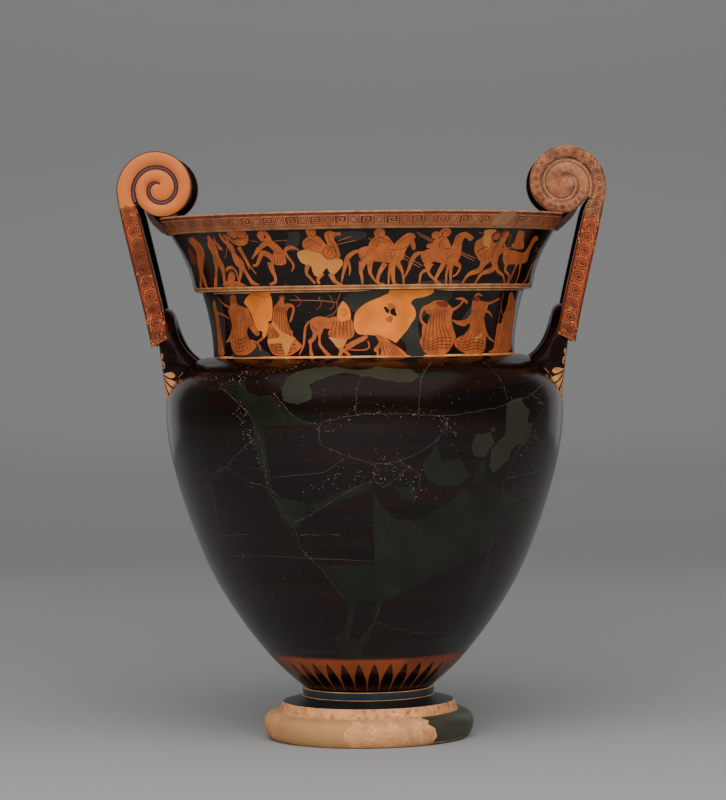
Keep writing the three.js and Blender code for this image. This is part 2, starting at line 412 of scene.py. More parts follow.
def fired(
    name, colour, roughness, drift=0.2, scale=40, specks=None, bump=0.0, bands=None, ior=1.45
):
    """A fired surface whose colour drifts over the pot, with optional specks and bump.

    specks is (colour, noise scale, lowest and highest noise value of the change) and
    bands is (colour, amount) for the soft wheel-made rings of another tone.
    """
    material = bpy.data.materials.new(name)
    material.use_nodes = True
    nodes, links = material.node_tree.nodes, material.node_tree.links
    shader = nodes["Principled BSDF"]
    shader.inputs["Roughness"].default_value = roughness
    shader.inputs["IOR"].default_value = ior
    place = nodes.new("ShaderNodeTexCoord")

    def noise(size, detail, vector=None):
        node = nodes.new("ShaderNodeTexNoise")
        node.inputs["Scale"].default_value = size
        node.inputs["Detail"].default_value = detail
        links.new(vector or place.outputs["Object"], node.inputs["Vector"])
        return node.outputs["Fac"]

    def between(value, low, high, top=1.0):
        node = nodes.new("ShaderNodeMapRange")
        node.inputs["From Min"].default_value = low
        node.inputs["From Max"].default_value = high
        node.inputs["To Max"].default_value = top
        links.new(value, node.inputs["Value"])
        return node.outputs["Result"]

    def mix(factor, a, b):
        node = nodes.new("ShaderNodeMix")
        node.data_type = "RGBA"
        links.new(factor, node.inputs["Factor"])
        for value, socket in ((a, node.inputs["A"]), (b, node.inputs["B"])):
            if isinstance(value, tuple):
                socket.default_value = (*value, 1)
            else:
                links.new(value, socket)
        return node.outputs["Result"]

    dark = tuple(c * (1 - drift) for c in colour)
    pale = tuple(min(1, c * (1 + drift)) for c in colour)
    out = mix(between(noise(scale, 6), 0.35, 0.65), dark, pale)
    if bands:
        stretch = nodes.new("ShaderNodeMapping")
        stretch.inputs["Scale"].default_value = (1.2, 1.2, 26)
        links.new(place.outputs["Object"], stretch.inputs["Vector"])
        rings = noise(4, 5, stretch.outputs["Vector"])
        out = mix(between(rings, 0.42, 0.62, bands[1]), out, bands[0])
    if specks:
        out = mix(between(noise(specks[1], 4), specks[2], specks[3]), out, specks[0])
    links.new(out, shader.inputs["Base Color"])
    if bump:
        lift = nodes.new("ShaderNodeBump")
        lift.inputs["Strength"].default_value = bump
        lift.inputs["Distance"].default_value = 0.0006
        links.new(noise(700, 5), lift.inputs["Height"])
        links.new(lift.outputs["Normal"], shader.inputs["Normal"])
    MATERIALS.append(material)
    return len(MATERIALS) - 1


SCRATCH = ((0.1, 0.085, 0.065), 420, 0.68, 0.76)
CHALK = ((0.42, 0.25, 0.15), 420, 0.56, 0.72)

BLACK = fired(
    "black_gloss",
    (0.0042, 0.0022, 0.0013),
    roughness=0.2,
    drift=0.5,
    scale=12,
    specks=SCRATCH,
    bands=((0.016, 0.0035, 0.001), 0.55),
    ior=1.42,
)
CLAY = fired("figure_clay", (0.43, 0.1, 0.021), 0.55, 0.22, 110)
BRIGHT = fired(
    "mended_clay_bright", (0.86, 0.21, 0.019), 0.55, 0.2, 45,
    ((0.85, 0.34, 0.07), 30, 0.55, 0.75),
)
TAN = fired("mended_clay_tan", (0.6, 0.215, 0.042), 0.6, 0.12, 40)
RUSSET = fired("russet_wash", (0.2, 0.03, 0.012), 0.5, 0.2, 60)
DARK = fired("contour_slip", (0.05, 0.014, 0.006), 0.4, 0.3, 60)
SPEAR = fired("spear_wash", (0.3, 0.09, 0.03), 0.5, 0.2, 60)
# Grey-green fills and rubbed spots, and the painted sheen at the friezes' left ends.
GREY_FILL_AND_SHEEN = fired("grey_green_fill_and_sheen", (0.026, 0.026, 0.02), 0.5, 0.2, 30)
GREEN = fired("green_fill", (0.0095, 0.0115, 0.0055), 0.28, 0.25, 30, SCRATCH, ior=1.4)
OLIVE = fired("olive_fill", (0.023, 0.0225, 0.012), 0.5, 0.12, 30)
CRACK = fired("crack", (0.06, 0.052, 0.04), 0.7, 0.5, 200)
RESERVED = fired("reserved_line", (0.65, 0.29, 0.1), 0.6, 0.3, 90)
LEDGE_CLAY = fired("ledge_clay", (0.34, 0.12, 0.045), 0.5, 0.3, 90)
RIM_CLAY = fired(
    "rim_clay", (0.16, 0.031, 0.0095), 0.5, 0.3, 60,
    ((0.36, 0.13, 0.055), 130, 0.66, 0.8),
)
ZONE_EDGE = fired("zone_edge", (0.12, 0.014, 0.006), 0.4, 0.3, 60)
CHIP = fired("chip", (0.3, 0.2, 0.12), 0.8, 0.5, 200)
DISC_GLOSS = fired("disc_gloss", (0.012, 0.013, 0.012), 0.36, 0.4, 40, SCRATCH)
RING_GLOSS = fired("ring_gloss", (0.02, 0.026, 0.032), 0.36, 0.2, 40)
RIM_FILL = fired("rim_fill", (0.3, 0.14, 0.065), 0.6, 0.2, 40)
RIM_LINE = fired("rim_line", (0.45, 0.17, 0.068), 0.6, 0.3, 90)
RAY_CLAY = fired("ray_zone_clay", (0.25, 0.055, 0.017), 0.5, 0.25, 40)
DARK_SLIP = fired("pattern_slip", (0.05, 0.01, 0.004), 0.4, 0.4, 90)
# Pale worn clay on the lip and the strap's free end, also the painted highlight down the worn groove's
# bead.
WORN_EDGE_AND_HIGHLIGHT = fired("worn_edge_and_highlight", (0.36, 0.15, 0.07), 0.7, 0.3, 120, CHALK, 0.3)
BARE = fired(
    "bare_clay", (0.74, 0.35, 0.14), 0.8, 0.2, 90,
    ((0.44, 0.19, 0.075), 620, 0.48, 0.72), 0.3,
)
STEP_CLAY = fired(
    "step_clay", (0.74, 0.34, 0.14), 0.7, 0.2, 60,
    ((0.42, 0.12, 0.04), 190, 0.5, 0.7), 0.2,
)
TAN_FILL = fired("foot_fill", (0.52, 0.27, 0.1), 0.6, 0.06, 30)
OLIVE_GLOSS = fired("olive_gloss", (0.035, 0.035, 0.02), 0.4, 0.3, 20)
VOLUTE_NEW = fired("volute_mended", (0.64, 0.165, 0.038), 0.4, 0.05, 30, ior=1.35)
VOLUTE_OLD = fired("volute_worn", (0.36, 0.125, 0.055), 0.55, 0.4, 90, CHALK, 0.4)
FLANGE_CLAY = fired(
    "strap_clay", (0.31, 0.06, 0.015), 0.5, 0.4, 50,
    ((0.62, 0.33, 0.15), 210, 0.64, 0.76),
)
PALMETTE_CLAY = fired("palmette_clay", (0.6, 0.24, 0.085), 0.55, 0.25, 90)
GROOVE_OLD = fired("groove_worn", (0.14, 0.055, 0.04), 0.6, 0.3, 90, CHALK)
PURPLE = fired("purple_slip", (0.045, 0.013, 0.015), 0.35, 0.2, 50)
# Painted highlight: the lighter purple down the middle of a groove's raised bead.
PURPLE_HIGHLIGHT = fired("purple_slip_painted_highlight", (0.12, 0.05, 0.055), 0.35, 0.2, 50)


# ---- drawing in the flat ------------------------------------------------------


def smooth_ring(points, per_side=4):
    """A closed even curve through the points."""
    n = len(points)
    out = []
    for k in range(n):
        a, b, c, d = (points[(k + i - 1) % n] for i in range(4))
        for j in range(per_side):
            out.append(even_curve(a, b, c, d, j / per_side))
    return out


def smooth_run(points, per_side=4):
    """An open even curve through the points."""
    last = len(points) - 1
    out = []
    for k in range(last):
        ends = (points[max(k - 1, 0)], points[k], points[k + 1], points[min(k + 2, last)])
        out.extend(even_curve(*ends, j / per_side) for j in range(per_side))
    return [*out, points[-1]]


def stroke(points, widths):
    """The outline of a line drawn through the points, its width changing evenly."""
    left, right = [], []
    last = len(points) - 1
    for k, (x, y) in enumerate(points):
        ax, ay = points[max(k - 1, 0)]
        bx, by = points[min(k + 1, last)]
        length = math.hypot(bx - ax, by - ay) or 1
        t = k / last * (len(widths) - 1)
        i = min(int(t), len(widths) - 2)
        half = lerp(widths[i], widths[i + 1], t - i) / 2
        nx, ny = -(by - ay) / length * half, (bx - ax) / length * half
        left.append((x + nx, y + ny))
        right.append((x - nx, y - ny))
    return left + right[::-1]


def round_shape(x, y, rx, ry=None, steps=14):
    ry = ry or rx
    return [
        (x + rx * math.cos(TAU * i / steps), y + ry * math.sin(TAU * i / steps))
        for i in range(steps)
    ]


class Drawing:
    """Collects painted shapes, the later ones on top. Points count from its origin."""

    def __init__(self, across=0, up=0):
        self.across, self.up = across, up
        self.shapes = []

    def at(self, across, up):
        """The same sheet with another origin."""
        other = Drawing(across, up)
        other.shapes = self.shapes
        return other

    def put(self, outline, slot):
        self.shapes.append(([(self.across + x, self.up + y) for x, y in outline], slot))

    def area(self, slot, *points):
        self.put(smooth_ring(points), slot)

    def limb(self, slot, points, *widths):
        self.put(stroke(smooth_run(points, 3), widths), slot)

    def line(self, slot, *points, width=0.45):
        self.put(stroke(smooth_run(points, 4), (width, width)), slot)

    def straight(self, slot, *points, width=0.45):
        for a, b in zip(points, points[1:]):
            self.put(stroke([a, b], (width, width)), slot)

    def disc(self, slot, x, y, rx, ry=None):
        self.put(round_shape(x, y, rx, ry), slot)


# ---- painted figures ----------------------------------------------------------
# In millimetres from each figure's own place on the ground line. The outlines follow the
# photographed figures and came out of a helper program: see "Rules not met" in report.md.

LOWER_RADIUS, UPPER_RADIUS = 150, 172  # the registers are drawn at these radii
FRIEZE_GROUND = 1.6  # the lower frieze's ground line above the register's foot


def pleats(d, count, *rows):
    """Fold lines side by side: each row gives the first and the last line's point."""
    for k in range(count):
        t = k / (count - 1)
        d.line(DARK, *((lerp(a[0], b[0], t), lerp(a[1], b[1], t)) for a, b in rows), width=0.6)


def rubbed_and_sheen(d, u, ground, *places):
    """A grey-green patch through (degrees from the front, height) places: fills, rubbed spots and
    painted sheen.
    """
    d.area(GREY_FILL_AND_SHEEN, *((u(degrees), ground + high) for degrees, high in places))


def spears(d, slot, width, *runs):
    """Thin shafts and twigs, each drawn through its own points."""
    for run in runs:
        d.line(slot, *run, width=width)


def upper_frieze(d, u, ground):
    """Riders on horses, running and standing men. u turns degrees into mm."""
    # Painted sheen: a grey streak down the register's left end stands for the gloss's reflection.
    rubbed_and_sheen(d, u, ground, (-71, 0), (-62, 20), (-57, 30), (-53, 47), (-75, 47))
    rubbed_and_sheen(d, u, ground, (-23.4, 34), (-23, 42), (-20.6, 43), (-19.8, 36), (-21.4, 31))
    rubbed_and_sheen(d, u, ground, (-9, 43), (-3, 40), (1, 43), (0, 48), (-9, 48))
    rubbed_and_sheen(d, u, ground, (17, 0), (24, 4), (33, 3), (35, 0))
    bather = d.at(u(-65), ground)
    bather.area(
        RUSSET, (-8.5, 38.5), (-4, 33.5), (-4, 27.5), (-9, 22.5), (-21.5, 22), (-22, 28),
        (-18.5, 33.5),
    )
    bather.area(
        CLAY, (4.5, 47), (13, 47), (17, 44), (20.5, 40), (21, 34.5), (17, 29), (9, 23), (2.5, 16),
        (3, 8.5), (5, 0), (-0.5, 0.5), (-4.5, 7), (-5.5, 11), (-8.5, 4), (-10, 0), (-18, 0),
        (-13, 8), (-8.5, 14.5), (-6.5, 21), (-0.5, 27.5), (4, 33), (3, 38.5), (0, 43.5),
    )
    bather.line(DARK, (15, 41), (13.5, 33.5), (3, 23.5), width=0.4)
    guest = d.at(u(-52), ground)
    guest.area(
        CLAY, (-4.5, 42.5), (1.5, 45), (4.5, 42.5), (4.5, 39.5), (5, 35.5), (4, 31.5), (3.5, 26.5),
        (6, 21), (4.5, 13.5), (2, 4.5), (-1, 4), (-1, 10.5), (-1, 16), (-3, 19.5), (-6.5, 16.5),
        (-10.5, 9), (-14.5, 0), (-20, 0), (-16.5, 7.5), (-12, 14), (-9, 20.5), (-9, 24.5),
        (-6.5, 29), (-6.5, 33.5), (-7.5, 37.5),
    )
    guest.area(
        CLAY, (8.5, 47.5), (8, 42.5), (10.5, 39.5), (12.5, 34.5), (7.5, 35), (6.5, 38.5), (5, 42),
    )
    guest.line(DARK, (0, 39.5), (-1, 32.5), (-3.5, 26.5), width=0.4)
    guest.disc(CLAY, 0.5, 45.5, 3, 2.5)
    helmet = d.at(u(-47), ground)
    helmet.area(CLAY, (-14, 5.5), (-2, 5.5), (9, 4.5), (16, 1.5), (15, 0.5), (-15, 0.5))
    helmet.area(CLAY, (-8.5, 6), (-6.5, 10.5), (-4, 13.5), (-0.5, 14.5), (3, 13), (3.5, 9.5), (1, 5.5))
    helmet.limb(
        CLAY,
        [(-8.5, 15), (-4, 17.5), (2, 18), (6, 15), (7, 10), (7, 6.5)],
        2, 3, 3, 2.5, 2, 1,
    )
    helmet.line(DARK, (-5.5, 12), (-1, 13.5), (2.5, 12), width=0.5)
    helmet.line(DARK, (-5, 6), (-2.5, 9.5), (-0.5, 6), width=0.6)
    hero = d.at(u(-42), ground)
    hero.limb(CLAY, [(-12, 50), (-12.5, 46.5), (-10.5, 42), (-7, 39)], 2.5, 3, 3.5, 4)
    hero.limb(CLAY, [(-8.5, 48), (-6, 45), (-7, 41)], 4, 3.5, 3)
    hero.area(
        CLAY, (-8, 42), (-2.5, 39), (-1.5, 35), (-1, 30), (4, 23.5), (4.5, 18), (8, 10.5), (12, 5.5),
        (19.5, 1.5), (10, 1.5), (6, 6.5), (0, 16), (-6, 19.5), (-8, 25.5), (-7.5, 32), (-9.5, 36.5),
    )
    hero.limb(CLAY, [(-1, 20.5), (-2, 14), (-5, 8.5), (-8, 3.5)], 5.5, 4, 3, 2)
    hero.limb(CLAY, [(4.5, 36.5), (7, 28.5), (9.5, 22), (11.5, 18)], 5, 4, 3, 2)
    hero.line(CLAY, (7.5, 22.5), (10, 15.5), width=1)
    hero.line(CLAY, (11, 19.5), (14, 15), (17, 11.5), width=1.4)
    hero.disc(CLAY, 8, 46, 12, 8.5)
    hero.disc(BLACK, 8, 46, 9.5, 7)
    hero.disc(CLAY, 8, 46, 9, 7)
    hero.limb(BLACK, [(-1.5, 48.5), (0.5, 44.5), (6.5, 44), (8.5, 49)], 0.8, 1.5, 1, 0.5)
    hero.limb(BLACK, [(7.5, 45), (10.5, 44), (15.5, 44.5)], 1.5, 0.8, 0.5)
    hero.line(DARK, (-2.5, 34), (0, 26), (2.5, 20.5), width=0.4)
    hero.line(CLAY, (-9.5, 37.5), (-14, 32), (-18.5, 26.5), width=0.6)
    worker = d.at(u(-29), ground)
    worker.area(
        CLAY, (-8, 49), (-3, 50.5), (-1, 48.5), (-2.5, 45), (-4, 42), (-6.5, 41), (-8.5, 43),
        (-9.5, 46),
    )
    worker.area(
        CLAY, (-2.5, 44), (3, 42.5), (8, 38.5), (12, 33.5), (13.5, 29.5), (13.5, 21.5), (9, 19),
        (2, 19.5), (-1.5, 21.5), (-2, 25.5), (2.5, 30.5), (1.5, 34), (-1.5, 37), (-3.5, 38.5),
    )
    worker.area(CLAY, (-1, 50.5), (2.5, 48), (4, 42), (0, 42), (-1, 45))
    worker.limb(CLAY, [(-1.5, 40), (-8.5, 36.5), (-16, 31), (-23.5, 25.5)], 5, 4, 3, 1)
    worker.limb(CLAY, [(-13, 35.5), (-17.5, 31), (-20.5, 27)], 1.5, 1.5, 0.8)
    worker.limb(
        CLAY,
        [(1, 25), (-5, 29.5), (-10, 30), (-15.5, 24), (-19.5, 19.5), (-24, 19.5)],
        6.5, 5.5, 4.5, 3.5, 2.5, 2,
    )
    worker.limb(CLAY, [(-3.5, 22), (-3, 15), (-1, 9.5), (-1, 4), (-8, 1.5)], 6.5, 5.5, 3.5, 3, 2)
    pleats(worker, 4, ((0.5, 20.5), (10.5, 20.5)), ((2.5, 25), (11, 27.5)))
    worker.line(DARK, (1.5, 33), (6.5, 30.5), (12.5, 29.5), width=0.5)
    worker.line(DARK, (-2, 48), (-1, 45), (-2.5, 43.5), width=0.7)
    spears(worker, SPEAR, 0.6, ((-18, 42), (-10, 40.5)), ((6, 41), (19.5, 41.5)))
    worker.area(GREY_FILL_AND_SHEEN, (22, 48.5), (32, 48.5), (30.5, 40.5), (27, 35.5), (23.5, 40.5), (21.5, 44.5))
    first = d.at(u(-13), ground)
    first.limb(
        CLAY,
        [
            (-20, 32.5), (-25.5, 35), (-31, 34), (-33.5, 31), (-31.5, 26), (-28.5, 21.5),
            (-27.5, 17.5), (-30.5, 13),
        ],
        1.5, 3, 3.5, 3, 2.5, 2.5, 2, 0.5,
    )
    first.limb(CLAY, [(-12.5, 20), (-15.5, 12), (-12, 7), (-7.5, 2)], 5.5, 3, 2.5, 2)
    first.limb(CLAY, [(0.5, 11.5), (-4.5, 5.5), (-3, 1.5)], 5, 3, 2.5)
    first.limb(CLAY, [(8.5, 11), (12, 3.5), (19.5, 0)], 6, 3.5, 2)
    first.area(
        CLAY, (-15, 39), (-11, 43), (-5, 45.5), (1, 44), (5, 39), (8, 34.5), (7, 29.5), (2, 26.5),
        (-4.5, 29.5), (-14, 32.5),
    )
    first.area(
        CLAY, (9.5, 49), (12.5, 49), (16, 47.5), (20, 48), (20, 45), (16, 44.5), (14, 41.5),
        (16.5, 36.5), (18, 30.5), (18, 25), (12, 23), (5, 23.5), (1.5, 26.5), (3.5, 32), (7.5, 37.5),
        (6, 43), (6.5, 47),
    )
    first.area(
        TAN, (-21.5, 30.5), (-13.5, 32.5), (-6.5, 30.5), (0.5, 28.5), (6.5, 23.5), (17, 24),
        (20.5, 21.5), (19.5, 17.5), (14, 11.5), (11, 10), (7.5, 11.5), (5, 15.5), (1.5, 12.5),
        (-2, 8.5), (-6.5, 8.5), (-9, 12), (-10.5, 18), (-16.5, 19.5), (-20.5, 23),
    )
    first.disc(DARK, 9, 29.5, 6.5, 6)
    first.disc(CLAY, 9, 29.5, 6, 5.5)
    first.line(DARK, (6, 27.5), (9.5, 33), (11, 28.5), (6.5, 26), width=0.5)
    first.disc(CLAY, -5.5, 48.5, 4.5, 5)
    first.disc(DARK, -4.5, 48, 3, 4)
    first.disc(CLAY, -4, 48, 3, 3.5)
    first.line(DARK, (-13.5, 38), (-7, 42), (-3, 38.5), (3, 36), width=0.5)
    first.line(DARK, (-12.5, 34), (-5.5, 37), (-0.5, 33), width=0.5)
    first.line(DARK, (9, 47), (10, 41.5), (13, 36), (14.5, 29.5), width=0.5)
    second = d.at(u(6), ground)
    second.limb(
        CLAY,
        [(-20, 31), (-26, 29.5), (-32, 24.5), (-34.5, 17.5), (-37, 9.5), (-38.5, 2.5)],
        2, 3.5, 4.5, 3.5, 2.5, 1.0,
    )
    second.limb(CLAY, [(-31.5, 22), (-30, 14.5), (-31, 8.5)], 2.5, 2, 0.8)
    second.limb(CLAY, [(3, 19.5), (-2.5, 10), (-3.5, 2), (3, 0)], 5.5, 3.5, 2.5, 1.5)
    second.limb(CLAY, [(8.5, 18.5), (7, 10), (6.5, 0.5)], 4, 2.5, 1.5)
    second.limb(CLAY, [(14.5, 20), (20, 11), (21.5, 0)], 5, 2.5, 1.5)
    second.limb(CLAY, [(-11, 21), (-11, 10.5), (-4.5, 1.5)], 6, 3, 1.5)
    second.limb(CLAY, [(-18, 20.5), (-20, 12.5), (-19, 7.5), (-18.5, 0.5)], 7.5, 3.5, 2.5, 2)
    second.limb(CLAY, [(10.5, 19), (10.5, 10), (12.5, 0.5), (18, -0.5)], 5.5, 4, 3, 1.5)
    second.area(
        CLAY, (-21, 32.5), (-13.5, 35), (-5, 33.5), (2.5, 32.5), (8.5, 34.5), (12.5, 39), (17, 43.5),
        (22, 46.5), (27, 45.5), (29, 42.5), (28, 40.5), (30.5, 34.5), (29.5, 31), (27, 32.5),
        (25, 36.5), (23, 34), (21, 29), (20, 23.5), (16, 20.5), (12, 18.5), (7, 19.5), (0, 20.5),
        (-9, 21), (-12.5, 19), (-17, 19), (-20, 23), (-21.5, 27.5),
    )
    second.area(
        CLAY, (-12.5, 34.5), (-11, 39.5), (-6.5, 43.5), (2, 44.5), (7, 40.5), (10, 36), (7.5, 32.5),
        (-1.5, 32.5), (-8, 33.5),
    )
    second.disc(CLAY, -3, 46.5, 5, 4.5)
    second.disc(DARK, -1.5, 46, 3.5, 3.5)
    second.disc(CLAY, -1.5, 46, 3, 3)
    second.line(DARK, (-10, 36), (-7, 40.5), (-2.5, 42), (4, 40.5), (8.5, 35.5), width=0.5)
    second.line(DARK, (-5.5, 34), (-3.5, 39.5), (3, 37), width=0.45)
    second.line(DARK, (9.5, 32.5), (8, 26.5), (9, 22.5), (11, 26.5), (11.5, 32), width=0.5)
    second.line(DARK, (5, 32), (15, 31.5), (24.5, 34.5), width=0.45)
    second.line(DARK, (-20.5, 24), (-15.5, 25.5), (-13, 30.5), width=0.45)
    second.line(DARK, (14, 36), (18, 40.5), (25, 44.5), width=0.45)
    spears(
        second, SPEAR, 0.7, ((-39.5, 40), (-27.5, 44)), ((-40, 37), (-23.5, 40.5)),
        ((20.5, 26.5), (39.5, 16.5)), ((19.5, 24), (37, 15)), ((-12.5, 42.5), (-10, 40)),
    )
    third = d.at(u(26), ground)
    third.limb(
        CLAY,
        [(-22, 29), (-28.5, 27), (-32, 21.5), (-34, 14.5), (-38, 6)],
        2, 4.5, 4, 3, 0.8,
    )
    third.limb(CLAY, [(1, 18.5), (-4.5, 8.5), (-6.5, 2.5), (0, -0.5)], 5.5, 3.5, 2.5, 1.5)
    third.limb(CLAY, [(6.5, 19), (5, 8.5), (5.5, 0)], 4, 2.5, 1.5)
    third.limb(CLAY, [(13, 19.5), (19.5, 15.5), (17, 9.5), (12, 6.5)], 5.5, 3, 2, 1)
    third.limb(CLAY, [(-12.5, 19), (-14.5, 11.5), (-8.5, 5), (0, 0)], 6, 3, 2.5, 1)
    third.limb(CLAY, [(-17, 19.5), (-15, 14), (-21.5, 10), (-23, 0)], 7.5, 4, 2.5, 1.5)
    third.limb(CLAY, [(9.5, 19), (9.5, 9.5), (11, -0.5)], 5, 3, 1.5)
    third.area(
        CLAY, (-23, 29), (-16, 32), (-7, 31.5), (4, 32), (6.5, 37.5), (7.5, 43.5), (11.5, 46.5),
        (17.5, 47), (25.5, 43), (26, 41), (23.5, 39), (18, 42), (16, 40.5), (16, 35), (17.5, 26),
        (14.5, 20), (8, 18), (2.5, 18), (-4.5, 19.5), (-10, 20.5), (-14, 17), (-19.5, 19), (-23, 24),
    )
    third.area(
        CLAY, (-19, 36.5), (-14, 37.5), (-12.5, 40.5), (-7, 42.5), (-1.5, 42), (2.5, 37.5), (5, 33),
        (-6.5, 31.5), (-18.5, 33),
    )
    third.disc(CLAY, -12.5, 44.5, 4, 3.5)
    third.disc(CLAY, -4, 46.5, 5.5, 4.5)
    third.disc(DARK, -3.5, 45.5, 3.5, 3.5)
    third.disc(CLAY, -3, 45.5, 3, 3)
    third.line(DARK, (-6.5, 32), (-7, 38.5), (-4, 41), width=0.5)
    third.line(DARK, (4.5, 31.5), (2, 25), (6, 24), (7, 30.5), width=0.5)
    third.line(DARK, (5, 32), (11.5, 31.5), (17.5, 41.5), width=0.45)
    third.line(DARK, (-21.5, 23), (-16.5, 25), (-15.5, 29.5), width=0.45)
    third.line(DARK, (8, 36.5), (9, 42), (12, 45.5), width=0.45)
    spears(
        third, SPEAR, 0.7, ((-30.5, 47), (-13.5, 39.5)), ((-28.5, 44.5), (-14, 38)),
        ((16.5, 29), (36, 23)), ((17.5, 27), (34.5, 21)), ((30.5, 47), (34.5, 46)),
    )
    chaser = d.at(u(44), ground)
    chaser.limb(CLAY, [(-7, 19.5), (-11, 12.5), (-23.5, 8.5), (-30, 0.5)], 8, 5.5, 3.5, 1.5)
    chaser.area(
        CLAY, (-22.5, 30.5), (-23.5, 38.5), (-18.5, 42), (-15, 49), (-4.5, 48), (-4, 39.5),
        (5.5, 35.5), (5.5, 29.5), (1.5, 26), (2, 21), (-5, 17), (-14, 22),
    )
    chaser.area(
        TAN, (-17.5, 49), (-4.5, 49), (-7, 42.5), (-5.5, 34.5), (-9, 31.5), (-15, 38.5), (-17, 44),
    )
    chaser.line(DARK, (-19, 29.5), (-14, 32), (-8, 34), width=1)
    pleats(chaser, 3, ((-10.5, 20), (-1, 20)), ((-13.5, 28), (-2.5, 27)))
    chaser.disc(RUSSET, -2.5, 44, 5.5, 4)
    chaser.disc(CLAY, -0.5, 43, 4, 3)
    chaser.limb(CLAY, [(-4.5, 37.5), (3, 33.5), (3, 39)], 3, 2.5, 1.5)
    chaser.limb(CLAY, [(8, 23), (7.5, 13.5), (-6.5, 9.5), (-14.5, 0)], 8, 6, 3.5, 1.5)
    chaser.limb(CLAY, [(8.5, 19), (16, 11.5), (25.5, 7.5), (30, -0.5)], 5.5, 3.5, 2.5, 1.5)
    chaser.area(
        CLAY, (5, 42.5), (13.5, 41.5), (12, 34), (20.5, 32), (11.5, 26), (11.5, 19), (4, 18),
        (2.5, 26), (5, 32.5),
    )
    chaser.disc(RUSSET, 9, 45.5, 5.5, 3.5)
    chaser.disc(CLAY, 11, 44.5, 4, 3)
    chaser.limb(CLAY, [(11.5, 37.5), (18.5, 32.5), (25.5, 33.5)], 2.5, 2, 1.0)
    chaser.line(DARK, (5.5, 39.5), (0.5, 29.5), width=1.3)
    chaser.line(CLAY, (18, 46), (19.5, 34.5), width=0.6)
    foal = d.at(u(58), ground)
    foal.area(
        CLAY, (-25, 29.5), (-16.5, 31.5), (8.5, 29), (14.5, 35), (15.5, 43), (23, 44.5), (30, 41.5),
        (24, 38), (23.5, 29.5), (25, 20.5), (8.5, 18.5), (-8, 18), (-18.5, 18), (-24, 24),
    )
    foal.limb(CLAY, [(-14, 19.5), (-15, 12.5), (-6, 7.5), (-7.5, -0.5)], 6, 3, 2, 1.5)
    foal.limb(CLAY, [(3.5, 19), (2, 12.5), (-6.5, -0.5)], 5, 2.5, 1.5)
    foal.limb(CLAY, [(11.5, 19.5), (14, 9.5), (9.5, -0.5)], 4.5, 2.5, 1.5)
    foal.area(
        CLAY, (-16.5, 48.5), (-6, 47.5), (-0.5, 40), (6, 32.5), (-11, 32.5), (-17.5, 35.5),
        (-14.5, 39),
    )
    foal.line(DARK, (-21.5, 23), (-16, 26), (-16.5, 30), width=0.45)
    last = d.at(u(74), ground)
    last.limb(CLAY, [(11.5, 27), (-2.5, 17), (-9, 7), (-19.5, -0.5)], 4.5, 3.5, 2.5, 1)
    last.limb(CLAY, [(7.5, 10), (7, -0.5)], 3.5, 2.5, 1.5)
    for drop in (0, 2.6):
        d.straight(CLAY, (u(70), ground + 34 - drop), (u(78), ground + 31 - drop), width=0.6)


